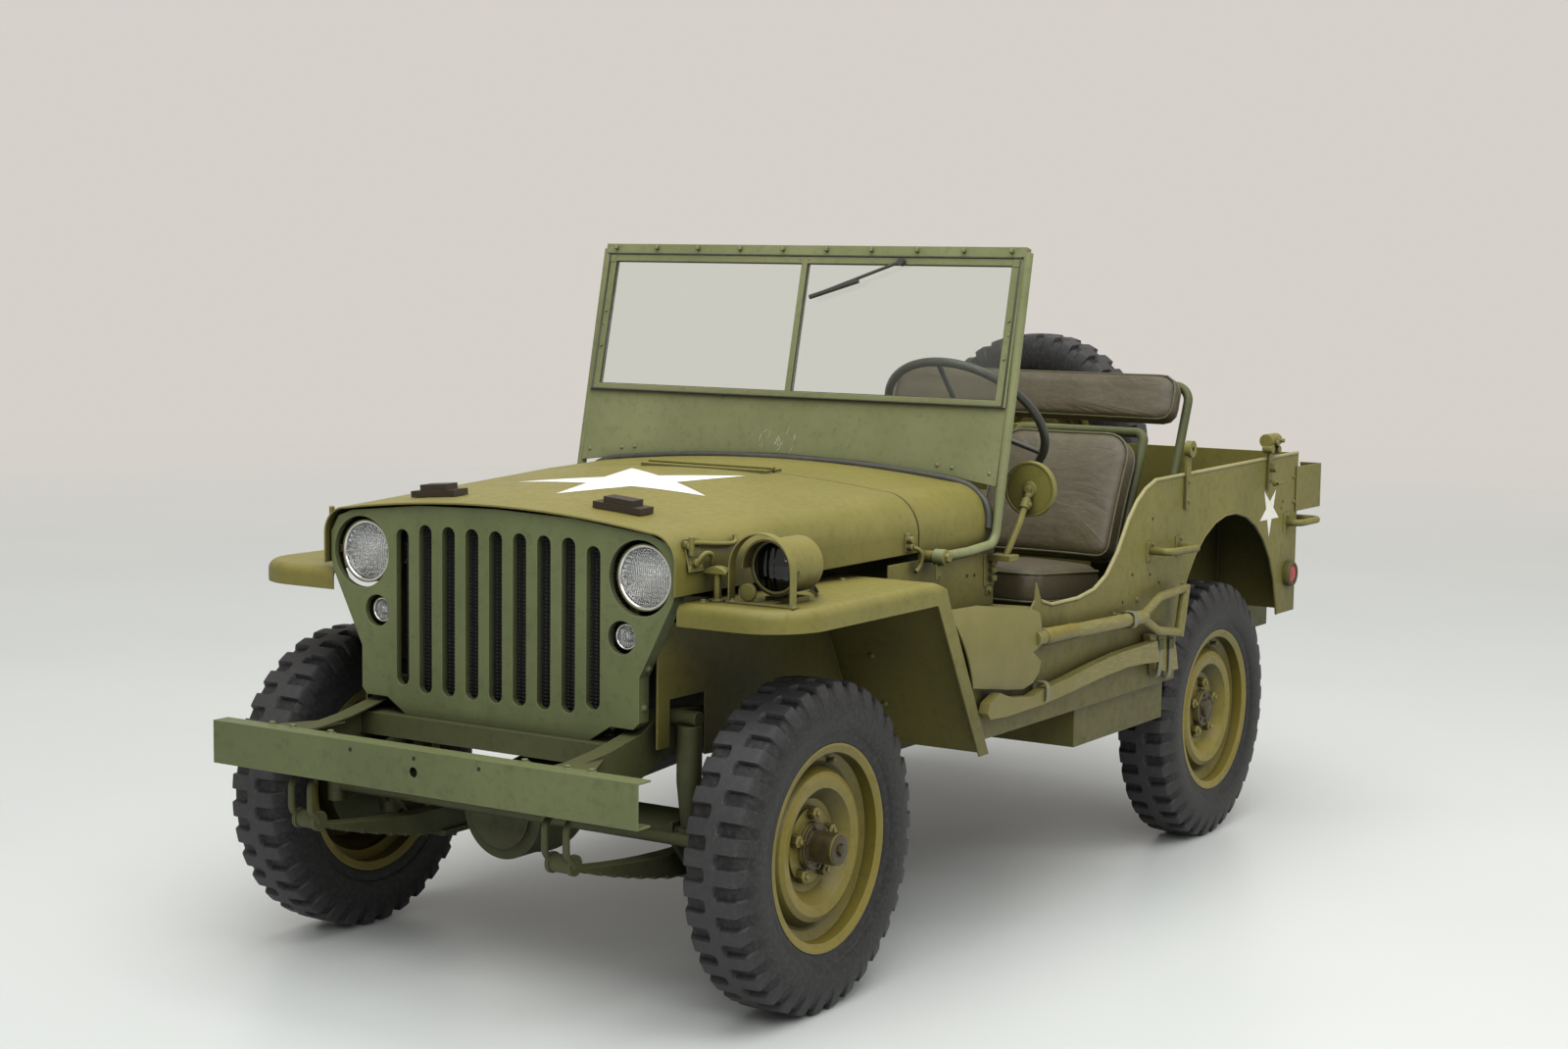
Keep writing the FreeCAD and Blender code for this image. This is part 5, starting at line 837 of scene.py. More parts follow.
sash = glass_high.x + 0.0205
round_bar("sash_seal", [sash_loop(-sash, sash, glass_low.z - 0.014, glass_high.z + 0.0185, 0.0095)], 0.0028,
          black_rubber, "windshield", closed=True)
EDGE, MULLION = 0.0012, 0.0092
panes = [sash_loop(x0, x1, glass_low.z + EDGE, glass_high.z - EDGE, 0.0042)
         for x0, x1 in ((MULLION, glass_high.x - EDGE), (-glass_high.x + EDGE, -MULLION))]
round_bar("glazing_strips", panes, 0.0022, black_rubber, "windshield", closed=True)

forms = []
HOOKS, HOOK_SPAN = 10, 0.583
for k in range(HOOKS):
    x = HOOK_SPAN * (2 * k / (HOOKS - 1) - 1)
    place = seat_on(windshield_faces, (x, -0.7, glass_high.z + 0.033), (0, 1, 0))
    forms.append((knuckle(0.0036, 0.010), place))
    forms.append((knuckle(0.0042, 0.010), place @ Matrix.Translation((0, -0.002, 0.009)) @ X_TURN))
piece("canvas_hooks", forms, windshield_paint, "windshield")

# plates and screws at the sash's corners
forms = []
for side in (1, -1):
    for z in (glass_low.z + 0.10, glass_low.z + 0.19):
        place = seat_on(windshield_faces, (side * (glass_high.x + 0.010), -0.8, z), (0, 1, 0))
        forms.append((knuckle(0.0032, 0.004), place))
    corner = seat_on(windshield_faces, (side * 0.597, -0.8, glass_high.z + 0.008), (0, 1, 0))
    forms.append((block(0.020, 0.020, 0.0018), corner))
piece("sash_screws", forms, windshield_paint, "windshield")

bare_scratch, tree = empty_material("pale_primer_scratches")
place = add(tree, "TexCoord").outputs["Object"]
worn = patches_of(tree, place, 220.0, 4.0)
tone = blend(tree, worn, linear("9a9c86"), linear("d3d4c6"))
bump = add(tree, "Bump", {"Height": worn, "Strength": 0.3, "Distance": 0.0004}).outputs[0]
finish_with(tree, Base_Color=tone, Roughness=0.6, Normal=bump)
chance = random.Random(7)
forms = []
for _ in range(16):
    x, z = chance.gauss(-0.03, 0.045), chance.gauss(1.125, 0.016)
    place = seat_on(windshield_faces, (x, -0.8, max(1.102, z)), (0, 1, 0))
    long, wide = chance.uniform(0.004, 0.017), chance.uniform(0.0004, 0.0010)
    turn = Matrix.Rotation(chance.gauss(1.3, 0.35), 4, "Z")
    sliver = ([Vector((-long, 0, 0.0007)), Vector((0, -wide, 0.0007)), Vector((long, 0, 0.0007)),
               Vector((0, wide, 0.0007))], [[0, 1, 2, 3]])
    forms.append((sliver, place @ turn))
piece("panel_scratches", forms, bare_scratch, "windshield")

gasket = []
for side in (-1, 1):
    run = []
    for z in (0.945, 0.962, 0.982, 1.000):
        start = (side * 0.9, -0.302 + (z - 0.945) * 0.15, z)
        run.append(seat_on(cowl_faces, start, (-side, 0, 0)).translation)
    for x in (0.585, 0.55, 0.50, 0.42, 0.30, 0.15):
        run.append(seat_on(cowl_faces, (side * x, -0.288, 1.3), (0, 0, -1)).translation)
    gasket += run if side < 0 else run[::-1]
gasket = [p + Vector((math.copysign(0.004, p.x) if p.z < 1.01 else 0, 0, 0.004)) for p in gasket]
round_bar("cowl_gasket", [gasket], 0.0085, black_rubber, "chassis", kind="NURBS")

# clamps at the feet of the windshield's side tubes
forms = []
pivot_y, pivot_z = -0.557, 0.904
for side in (1, -1):
    outer = Matrix.Translation((side * 0.633, pivot_y, pivot_z)) @ OUT[side]
    forms += bolt(outer, size=0.012)
    forms.append((block(0.040, 0.026, 0.004), outer @ Matrix.Translation((0.030, 0, -0.020))))
    forms += rivet(outer @ Matrix.Translation((0.042, 0, -0.016)), size=0.005)
piece("windshield_foot_clamps", forms, body_paint, "windshield")

# ---- Lamps ------------------------------------------------------------------------
# Headlamps with a chromed rim, a silvered bowl and a fluted pressed lens, small
# marker lamps, a dark blackout lens, and red glass at the rear.


def metal(name, tone_code, worn_code, rough, grain=900.0):
    """A bare or plated metal with fine scratches and dull patches."""
    material, tree = empty_material(name)
    place = add(tree, "TexCoord").outputs["Object"]
    patches = patches_of(tree, place, 60.0, 5.0)
    fine = patches_of(tree, place, grain, 2.0)
    tone = blend(tree, patches, linear(tone_code), linear(worn_code))
    gloss = add(tree, "MapRange", {0: patches, 1: 0.3, 2: 0.7, 3: rough * 0.7, 4: rough * 1.4}).outputs[0]
    bump = add(tree, "Bump", {"Height": fine, "Strength": 0.08, "Distance": 0.0004}).outputs[0]
    finish_with(tree, Base_Color=tone, Metallic=1.0, Roughness=gloss, Normal=bump)
    return material


chrome = metal("worn_chrome_plate", "d9d9d6", "b4b3ae", 0.14)
silvered = metal("silvered_lamp_bowl", "fafaf8", "eeeeec", 0.10, grain=400.0)


def lens_glass(name, tint, scale, direction, clear=0.92):
    """Pressed glass whose flutes are bumped into its face as ridges."""
    material, tree = empty_material(name)
    place = add(tree, "TexCoord").outputs["Object"]
    flutes = add(tree, "TexWave", {"Vector": place, "Scale": scale, "Distortion": 0.0},
                 bands_direction=direction).outputs["Fac"]
    cross = add(tree, "TexWave", {"Vector": place, "Scale": scale * 0.45, "Distortion": 0.8},
                bands_direction="Z").outputs["Fac"]
    ridges = add(tree, "Math", {0: flutes, 1: cross}, operation="ADD").outputs[0]
    bump = add(tree, "Bump", {"Height": ridges, "Strength": 0.75, "Distance": 0.0016}).outputs[0]
    finish_with(tree, Base_Color=linear(tint), Roughness=0.05, IOR=1.5, Transmission_Weight=clear,
                Normal=bump)
    return material


fluted_glass = lens_glass("fluted_pressed_glass", "f6f8f8", 66.0, "X")
red_glass = lens_glass("red_pressed_glass", "b3170f", 70.0, "Y", clear=0.15)
dark_glass = lens_glass("dark_blackout_glass", "141a24", 20.0, "X")


def dome(radius, sag, thick=0.003, steps=7):
    """A domed lens of even thickness, its rim at z = 0."""
    outer = [(radius * i / steps, sag * (1 - (i / steps) ** 2)) for i in range(steps + 1)]
    return turned(outer + [(r, z - thick) for r, z in outer[::-1]], 48)


def bowl(radius, deep, steps=7):
    return turned([(radius * i / steps, -deep * (1 - (i / steps) ** 2)) for i in range(steps + 1)], 48)


def ring(inner, outer, tall, back=0.008):
    mid, e = (inner + outer) / 2, (outer - inner) / 4
    return turned(((inner, -back), (inner, tall * 0.5), (mid - e, tall * 0.9), (mid, tall),
                   (mid + e, tall * 0.9),
                        (outer, tall * 0.4), (outer, -back)), 48)


face_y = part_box("grille")[0].y
FORWARD = Matrix.Rotation(math.radians(90), 4, "X")
head_rims, bowls, lenses = [], [], []
for side in (1, -1):
    spot = Matrix.Translation((side * 0.379, face_y + 0.021, 0.920)) @ FORWARD
    lenses.append((dome(0.0625, 0.017), spot))
    head_rims.append((ring(0.0615, 0.0692, 0.006), spot))
    bowls.append((bowl(0.0615, 0.021), spot @ Matrix.Translation((0, 0, -0.001))))
    bowls.append((turned(((0, 0.006), (0.006, 0.004), (0.009, -0.002), (0.009, -0.018)), 20), spot))
    spot = Matrix.Translation((side * 0.333, face_y + 0.019, 0.793)) @ FORWARD
    lenses.append((dome(0.0238, 0.006, 0.002, 5), spot))
    head_rims.append((ring(0.0232, 0.0272, 0.003, 0.006), spot))
    bowls.append((turned(((0, 0.001), (0.005, -0.001), (0.0085, -0.006), (0.0085, -0.011)), 20), spot))
    bowls.append((turned(((0.006, -0.0112), (0.014, -0.0112), (0.0225, -0.007)), 24), spot))
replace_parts(piece("headlamp_lenses", lenses, fluted_glass, "chassis"), "lamp_lenses")
piece("headlamp_rims", head_rims, chrome, "chassis")
piece("headlamp_bowls", bowls, silvered, "chassis")

blackout = Matrix.Translation((0.626, -1.2595, 0.950)) @ FORWARD
piece("blackout_lens", [(dome(0.051, 0.014), blackout)], dark_glass, "chassis")
forms = [(ring(0.0505, 0.0575, 0.004, 0.004), blackout)]
forms.append((knuckle(0.0215, 0.004), Matrix.Translation((0.585, -1.2965, 0.899)) @ FORWARD))
for x in (0.553, 0.699):
    forms += bolt(seat_on(faces_of("lamps"), (x, -1.308, 0.92), (0, 0, -1)), size=0.006)
for x, y in ((0.603, -1.205), (0.649, -1.205), (0.603, -1.188), (0.649, -1.188)):
    forms += rivet(seat_on(faces_of("lamps"), (x, y, 0.889), (0, 0, -1)), size=0.004)
piece("blackout_lamp_fittings", forms, body_paint, "chassis")
round_bar("blackout_lamp_wire", [[(0.640, -1.176, 0.915), (0.650, -1.150, 0.905), (0.648, -1.130, 0.886),
                                  (0.610, -1.075, 0.882), (0.575, -1.048,
                                                           0.882)]], 0.0035, dull_iron, "chassis",
          kind="NURBS")

rear_lenses, rear_rims = [], []
tail_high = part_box("lamps")[1]
for side in (1, -1):
    back = Matrix.Translation((side * 0.560, tail_high.y, 0.720)) @ FORWARD.inverted()
    out = Matrix.Translation((side * tail_high.x, 1.323, 0.690)) @ OUT[side]
    rear_lenses += [(dome(0.029, 0.009), back), (dome(0.027, 0.006), out)]
    rear_rims += [(ring(0.0285, 0.0375, 0.004, 0.003), back), (ring(0.0265, 0.0352, 0.004, 0.003), out)]
    rear_rims += rivet(back @ Matrix.Translation((0.033, 0, 0.003)), size=0.003)
    rear_rims += rivet(back @ Matrix.Translation((-0.033, 0, 0.003)), size=0.003)
piece("red_lenses", rear_lenses, red_glass, "chassis")
piece("red_lens_rims", rear_rims, frame_paint_with_painted_shade, "chassis")

# ---- Engine bay -------------------------------------------------------------------
# The engine's cylinder head with its studs and plugs, the carburettor's air cleaner,
# hoses, and a fan on its hub, seen when the hood is up.

engine_faces = faces_of("engine_block")
head = seat_on(engine_faces, (0.0, -0.95, 1.3), (0, 0, -1))
head_z = head.translation.z
forms = [(block(0.190, 0.400, 0.030, 0.006), Matrix.Translation((0.0, -0.907, head_z)))]
for x in (-0.080, 0.0, 0.080):
    for k in range(5):
        forms += bolt(Matrix.Translation((x, -1.087 + 0.09 * k, head_z + 0.030)), size=0.008)
for k in range(4):
    plug = Matrix.Translation((0.042, -1.042 + 0.09 * k, head_z + 0.030))
    forms.append((turned(((0.013, 0), (0.013, 0.010), (0.008, 0.012), (0.007, 0.040), (0, 0.041)), 12), plug))
fan = Matrix.Translation((0.0, -1.165, head_z - 0.110)) @ Matrix.Rotation(math.radians(90), 4, "X")
forms.append((turned(((0, 0.020), (0.030, 0.018), (0.034, 0.0), (0.034, -0.030)), 24), fan))
for k in range(4):
    blade = fan @ Matrix.Rotation(math.radians(90 * k + 20), 4, "Z") @ Matrix.Translation((0, 0.075, 0))
    forms.append((block(0.050, 0.110, 0.003), blade @ Matrix.Rotation(math.radians(24), 4, "Y")))
cleaner = Matrix.Translation((-0.225, -0.800, head_z - 0.130))
forms.append((turned(((0, 0), (0.058, 0), (0.062, 0.006), (0.062, 0.125), (0.066, 0.130), (0.066, 0.145),
                           (0.050, 0.160), (0.016, 0.165), (0.012, 0.176), (0, 0.178)), 32), cleaner))
forms.append((block(0.090, 0.060, 0.020, 0.004), Matrix.Translation((-0.180, -0.800, head_z - 0.150))))
piece("engine_head_and_fan", forms, dull_iron, "chassis")
leads = []
for k in range(4):
    top = Vector((0.042, -1.042 + 0.09 * k, head_z + 0.070))
    leads.append([top, top + Vector((0.020, 0, 0.012)), Vector((0.115, -0.98 + 0.03 * k, head_z + 0.030)),
                  Vector((0.135, -0.95 + 0.012 * k, head_z - 0.02))])
top_hose = [Vector((0.0, -1.070, head_z + 0.020)), Vector((0.0, -1.080, head_z + 0.070)),
            Vector((0.0, -1.180, head_z + 0.085)), Vector((0.0, -1.280, head_z + 0.070))]
round_bar("plug_leads", leads, 0.0035, black_rubber, "chassis", kind="NURBS")
round_bar("radiator_hose", [top_hose], 0.019, black_rubber, "chassis", kind="NURBS")

# ---- Steering wheel and controls ------------------------------------------------------
# Moulded black wheel on three steel spokes with a horn button, painted levers with
# hard rubber knobs, and pressed pedals.

black_rim, tree = empty_material("moulded_black_rim")
place = add(tree, "TexCoord").outputs["Object"]
polish = patches_of(tree, place, 30.0, 5.0)
tone = blend(tree, polish, linear("1c1e18"), linear("3b3d30"))
gloss = add(tree, "MapRange", {0: polish, 1: 0.3, 2: 0.7, 3: 0.25, 4: 0.5}).outputs[0]
bump = add(tree, "Bump", {"Height": polish, "Strength": 0.15, "Distance": 0.001}).outputs[0]
finish_with(tree, Base_Color=tone, Roughness=gloss, Normal=bump)
dress(("steering_wheel",), black_rim)

TILT = math.radians(46)
wheel_axis = Vector((0, math.sin(TILT), math.cos(TILT)))
horn = Matrix.Translation(Vector((0.370, 0.013, 1.178)) + wheel_axis * 0.020)
horn = horn @ wheel_axis.to_track_quat("Z", "Y").to_matrix().to_4x4()
piece("horn_button", [(turned(((0, 0.014), (0.014, 0.013), (0.022, 0.008), (0.024, 0.0), (0.030, -0.002),
                                    (0.031,
                                     -0.010)), 32), horn)], black_rim, "steering_wheel")

floor_faces = faces_of("body_tub")
knobs, plates = [], []
LEVERS = (
    # foot x, foot y, knob x, knob y, knob z, knob radius
    (0.020, -0.300, 0.060, -0.075, 0.955, 0.019), (0.070, -0.250, 0.105, -0.135, 0.850, 0.015),
    (0.105, -0.250, 0.140, -0.125, 0.850, 0.015))
rods = []
for foot_x, foot_y, x, y, z, r in LEVERS:
    foot = seat_on(floor_faces, (foot_x, foot_y, 1.0), (0, 0, -1))
    a = foot.translation
    rods.append([a, a + Vector((0, 0.01, 0.08)), Vector(((a.x + x) / 2, (a.y + y) / 2, (a.z + z) / 2 + 0.02)),
                 Vector((x, y, z))])
    plates.append((turned(((0.034, 0), (0.032, 0.010), (0.020, 0.024), (0.014, 0.040), (0.010, 0.052)), 24),
                   foot))
    knobs.append((turned([(r * math.sin(math.radians(18 * i)), -r * math.cos(math.radians(18 * i)) + r * 0.6)
                               for i in range(11)], 24), Matrix.Translation((x, y, z))))
for x in (0.245, 0.385):
    toe = seat_on(floor_faces, (x, 0.0, 0.600), (0, -1, 0)).translation
    pad = toe + Vector((0, 0.085, 0.045))
    rods.append([toe + Vector((0, 0, -0.06)), toe + Vector((0, 0.05, -0.04)),
                 pad + Vector((0, 0.01, -0.02)), pad])
    lean = Matrix.Rotation(math.radians(-60), 4, "X")
    plates.append((block(0.062, 0.058, 0.009, 0.003), Matrix.Translation(pad) @ lean))
round_bar("control_levers", rods, 0.0065, frame_paint_with_painted_shade, "chassis", kind="NURBS")
piece("lever_knobs", knobs, black_rim, "chassis")
piece("lever_boots_and_pedals", plates, black_rubber, "chassis")

# ---- Instruments ------------------------------------------------------------------------
# Five round dials with plain ticks in painted bezels, pull knobs and
# a grab bar on the instrument panel.

dial_black, tree = empty_material("matt_black_dial")
place = add(tree, "TexCoord").outputs["Object"]
dusty = patches_of(tree, place, 120.0, 4.0)
tone = blend(tree, dusty, linear("0f1010"), linear("2b2c2a"))
bump = add(tree, "Bump", {"Height": dusty, "Strength": 0.2, "Distance": 0.0005}).outputs[0]
finish_with(tree, Base_Color=tone, Roughness=0.4, Normal=bump)

bezels, dials, ticks = [], [], []
for x, z, r in ((0.0, 0.995, 0.040), (0.085, 1.028, 0.025), (0.085, 0.966, 0.025), (-0.085, 1.028, 0.025),
                (-0.085, 0.966, 0.025)):
    spot = seat_on(cowl_faces, (x, 0.1, z), (0, -1, 0))
    bezels.append((ring(r, r + 0.006, 0.008, 0.0), spot))
    dials.append((turned(((0, 0.002), (r * 0.6, 0.002), (r + 0.001, 0.002), (r + 0.001, 0)), 36), spot))
    for k in range(9):
        turn = Matrix.Rotation(math.radians(-120 + 30 * k), 4, "Z")
        ticks.append((block(0.0016, r * 0.22, 0.0028, 0.0003),
                      spot @ turn @ Matrix.Translation((0, r * 0.8, 0))))
    turn = Matrix.Rotation(math.radians(70 + x * 300), 4, "Z")
    ticks.append((block(0.0014, r * 0.7, 0.0032, 0.0003), spot @ turn @ Matrix.Translation((0, r * 0.3, 0))))
for x in (-0.22, -0.18, 0.17, 0.21, 0.25):
    spot = seat_on(cowl_faces, (x, 0.1, 0.965), (0, -1, 0))
    dials.append((turned(((0.004, 0), (0.004, 0.012), (0.010, 0.014), (0.011, 0.022), (0.008, 0.026),
                               (0, 0.026)), 24), spot))
piece("dial_bezels", bezels, frame_paint_with_painted_shade, "chassis")
piece("dials_and_knobs", dials, dial_black, "chassis")
piece("dial_ticks", ticks, star_white, "chassis")
bar = []
for x, out in ((-0.50, 0.0), (-0.50, 0.035), (-0.32, 0.035), (-0.32, 0.0)):
    bar.append(seat_on(cowl_faces, (x, 0.1, 1.0), (0, -1, 0)).translation + Vector((0, out, 0)))
round_bar("passenger_grab_bar", [bar], 0.0065, body_paint, "chassis", kind="NURBS")

# ---- Mirror, brackets and handle plates -----------------------------------------------
# Pressed round mirror on a clamped arm, hinge brackets on the cowl, and riveted
# plates at the ends of the side handles.

mirror_spot = Vector((0.654, -0.189, 1.036))
mirror_front = Matrix.Translation(mirror_spot) @ FORWARD
mirror_back = Matrix.Translation(mirror_spot + Vector((0, 0.012, 0))) @ FORWARD.inverted()
forms = [(ring(0.0595, 0.0665, 0.003, 0.012), mirror_front), (ring(0.0595, 0.0665, 0.003, 0.0), mirror_back)]
forms.append((turned(((0.020, 0), (0.018, 0.003), (0.010, 0.005), (0.009, 0.012), (0.0, 0.014)), 24),
              mirror_front))
arm = Vector((0, 0.052, 0.076)).normalized()
along = arm.to_track_quat("Z", "Y").to_matrix().to_4x4()
forms.append((knuckle(0.0125, 0.026), Matrix.Translation((0.654, -0.216, 0.991)) @ along))
forms.append((knuckle(0.0105, 0.016), Matrix.Translation((0.654, -0.197, 1.016)) @ along))
forms += bolt(Matrix.Translation((0.665, -0.209, 1.001)) @ Y_TURN, size=0.006)
piece("mirror_fittings", forms, body_paint, "chassis")
piece("mirror_glass", [(turned(((0, 0.0008), (0.03, 0.0008), (0.0592, 0.0006)), 48), mirror_back)],
      metal("silvered_mirror_glass", "e8ecec", "d8dcdc", 0.03), "chassis")

forms = []
for side in (1, -1):
    spot = seat_on(cowl_faces, (side * 0.9, -0.290, 0.848), (-side, 0, 0))
    forms.append((block(0.044, 0.076, 0.003), spot))
    forms.append((block(0.026, 0.026, 0.003), spot @ Matrix.Translation((0, -0.046, 0))))
    forms += bolt(spot @ Matrix.Translation((0, -0.048, 0.003)), size=0.006)
    for z in (0.826, 0.846, 0.864):
        forms.append((knuckle(0.009, 0.014),
                      Matrix.Translation(spot.translation + Vector((side * 0.011, 0.004,
                                                                                          z - 0.852)))))
    for y in (0.363, 0.543):
        spot = seat_on(side_faces[side], (side * 0.9, y, 0.840), (-side, 0, 0))
        forms.append((block(0.040, 0.052, 0.003), spot))
        forms += bolt(spot @ Matrix.Translation((0.011, 0.019, 0.003)), size=0.005)
        forms += bolt(spot @ Matrix.Translation((-0.011, -0.019, 0.003)), size=0.005)
    spot = seat_on(side_faces[side], (side * 0.9, 1.303, 0.840), (-side, 0, 0))
    forms.append((block(0.050, 0.056, 0.003), spot))
    forms += bolt(spot @ Matrix.Translation((0.0, -0.020, 0.003)), size=0.005)
    forms += bolt(spot @ Matrix.Translation((0.0, 0.020, 0.003)), size=0.005)
    # hinged clamp at the rear corner: two knuckles, a swinging bolt and a wing nut
    for y, z, r, long in ((1.128, 1.062, 0.013, 0.030), (1.178, 1.058, 0.011, 0.030),
                          (1.152, 1.078, 0.009, 0.036)):
        barrel = Matrix.Translation((side * 0.714, y, z)) @ OUT[side]
        forms.append((knuckle(r, long), barrel))
    nut = Matrix.Translation((side * 0.741, 1.141, 0.965)) @ OUT[side]
    forms.append((knuckle(0.0085, 0.012), nut))
    for lean in (38, -38):
        wing = nut @ Matrix.Translation((0, 0, 0.008)) @ Matrix.Rotation(math.radians(lean), 4, "X")
        forms.append((block(0.007, 0.030, 0.003),
                      wing @ Matrix.Translation((0, math.copysign(0.012, lean), 0))))
piece("cowl_brackets_and_handle_plates", forms, body_paint, "chassis")

# ---- Tools ------------------------------------------------------------------------------
# Shovel and axe under thick khaki paint gone pale on the wood, a darker steel socket,
# and canvas web straps with buckles that hold them.

tool_paint, tree = empty_material("worn_khaki_tool_paint")
place = add(tree, "TexCoord").outputs["Object"]
length = add(tree, "SeparateXYZ", {0: place}).outputs[1]
blotch = patches_of(tree, place, 16.0, 6.0, 0.6)
stretch = add(tree, "Mapping", {"Vector": place, "Scale": (60.0, 6.0, 60.0)}).outputs[0]
grain = patches_of(tree, stretch, 4.0, 6.0)
tone = blend(tree, blotch, linear("5f5926"), linear("787038"))
pale = add(tree, "MapRange", {0: grain, 1: 0.45, 2: 0.75, 3: 0.0, 4: 0.5}).outputs[0]
wooden = add(tree, "MapRange", {0: length, 1: -0.14, 2: -0.12, 3: 0.0, 4: 1.0}).outputs[0]
pale = add(tree, "Math", {0: pale, 1: wooden}, operation="MULTIPLY").outputs[0]
tone = blend(tree, pale, tone, linear("938b5c"))
# painted shade in the tools' corners, within about 30 mm
corner = add(tree, "AmbientOcclusion", {"Distance": 0.03}, samples=4).outputs["AO"]
tool_corner_shade = add(tree, "MapRange", {0: corner, 1: 0.3, 2: 0.9, 3: 0.55, 4: 0.0}).outputs[0]
tone = blend(tree, tool_corner_shade, tone, linear("2f2b16"))
bump = add(tree, "Bump", {"Height": grain, "Strength": 0.25, "Distance": 0.0008}).outputs[0]
finish_with(tree, Base_Color=tone, Roughness=0.5, Normal=bump)
dress(("side_tools",), tool_paint)

web, tree = empty_material("olive_web_strap")
place = add(tree, "TexCoord").outputs["Object"]
# ribs 2 mm apart across the web
ribs = add(tree, "TexWave", {"Vector": place, "Scale": 160.0, "Distortion": 0.4},
           bands_direction="Y").outputs["Fac"]
faded = patches_of(tree, place, 40.0, 5.0)
tone = blend(tree, faded, linear("4a4a30"), linear("77744f"))
bump = add(tree, "Bump", {"Height": ribs, "Strength": 0.4, "Distance": 0.0006}).outputs[0]
finish_with(tree, Base_Color=tone, Roughness=0.8, Normal=bump, Sheen_Weight=0.2)


def web_loop(x, y, z, half_x, half_z, width, thick=0.0022):
    """A web strap round a handle: a flat band bent to a rounded loop in the X-Z plane."""
    verts, faces, count = [], [], 28
    for i in range(count):
        angle = 2 * math.pi * i / count
        c, d = math.cos(angle), math.sin(angle)
        cx = math.copysign(abs(c) ** 0.6, c)
        cz = math.copysign(abs(d) ** 0.6, d)
        for grow in (0, thick):
            for across in (-width / 2, width / 2):
                verts.append(Vector((x + cx * (half_x + grow), y + across, z + cz * (half_z + grow))))
    for i in range(count):
        a, b = 4 * i, 4 * ((i + 1) % count)
        faces += [[a, b, b + 1, a + 1], [a + 2, a + 3, b + 3, b + 2], [a, a + 2, b + 2, b],
                  [a + 1, b + 1, b + 3, a + 3]]
    return verts, faces


STILL = Matrix.Identity(4)
forms = [(web_loop(0.746, -0.285, 0.570, 0.0165, 0.024, 0.016), STILL),
         (web_loop(0.7345, 0.385, 0.574, 0.0125, 0.058, 0.020), STILL),
         (web_loop(0.7345, 0.450, 0.566, 0.0125, 0.060, 0.020), STILL),
         (web_loop(0.755, 0.172, 0.690, 0.0195, 0.0195, 0.020), STILL)]
piece("tool_straps", forms, web, "chassis")
forms = []
for y, z in ((0.385, 0.600), (0.450, 0.596)):
    forms.append((block(0.026, 0.030, 0.003), Matrix.Translation((0.7487, y, z)) @ Y_TURN))
forms += rivet(Matrix.Translation((0.7517, 0.385, 0.600)) @ Y_TURN, size=0.004)
piece("strap_buckles", forms, frame_paint_with_painted_shade, "chassis")
shaft_a, shaft_b = Vector((0.756, -0.347, 0.704)), Vector((0.756, 0.259, 0.688))
run = (shaft_b - shaft_a).normalized()
socket = Matrix.Translation(shaft_a + run * 0.045) @ run.to_track_quat("Z", "X").to_matrix().to_4x4()
forms = [(turned(((0.0176, 0), (0.0205, 0.002), (0.0195, 0.10), (0.0185, 0.168), (0.0176, 0.171)), 28),
          socket)]
forms += rivet(socket @ Matrix.Translation((0.0, 0.0, 0.14)) @ Y_TURN @ Matrix.Translation((0, 0, 0.0185)),
               size=0.004)
piece("shovel_socket", forms, wheel_paint, "chassis")

# ---- Seats --------------------------------------------------------------------
# Square cushions of horsehair and springs under tight brown canvas gone dark and
# shiny with use, with sewn edges, creases toward the corners and pale rubbed tops.


def canvas(name, dark, light, rubbed):
    """Heavy cotton duck: stained, pale where it is rubbed, with creases and a weave, and painted shade in its
    corners.
    """
    material, tree = empty_material(name)
    place = add(tree, "TexCoord").outputs["Object"]
    stains = patches_of(tree, place, 9.0, 6.0, 0.65)
    streak = patches_of(tree, place, 60.0, 8.0, 0.75)
    tone = blend(tree, stains, linear(dark), linear(light))
    pale = add(tree, "MapRange", {0: streak, 1: 0.55, 2: 0.75, 3: 0.0, 4: 0.5}).outputs[0]
    tone = blend(tree, pale, tone, linear(rubbed))
    # painted shade in corners, within about 30 mm
    corner = add(tree, "AmbientOcclusion", {"Distance": 0.03}, samples=4).outputs["AO"]
    seat_corner_shade = add(tree, "MapRange", {0: corner, 1: 0.3, 2: 0.85, 3: 0.7, 4: 0.0}).outputs[0]
    tone = blend(tree, seat_corner_shade, tone, linear("1d1a14"))
    # threads 2 mm apart, coarser than the real 0.6 mm so that they show
    warp = add(tree, "TexWave", {"Vector": place, "Scale": 160.0, "Distortion": 0.5}, bands_direction="X")
    weft = add(tree, "TexWave", {"Vector": place, "Scale": 160.0, "Distortion": 0.5}, bands_direction="Y")
    weave = add(tree, "Math", {0: warp.outputs["Fac"], 1: weft.outputs["Fac"]}, operation="ADD").outputs[0]
    wide = add(tree, "Mapping",
               {"Vector": place, "Scale": (6.0, 15.0, 10.0), "Rotation": (0.0, 0.0, 0.6)}).outputs[0]
    crease = add(tree, "TexNoise", {"Vector": wide, "Scale": 1.0, "Detail": 5.0, "Roughness": 0.55,
                                    "Distortion": 1.6}).outputs["Fac"]
    bump = add(tree, "Bump", {"Height": weave, "Strength": 0.12, "Distance": 0.0006}).outputs[0]
    bump = add(tree, "Bump",
               {"Height": crease, "Strength": 0.28, "Distance": 0.010, "Normal": bump}).outputs[0]
    finish_with(tree, Base_Color=tone, Roughness=0.5, Normal=bump, Sheen_Weight=0.04)
    return material


worn_canvas = canvas("worn_brown_canvas", "332d1d", "564d34", "70674b")
cord_canvas = canvas("sewn_canvas_cord", "3a3820", "5f5c38", "7c774c")


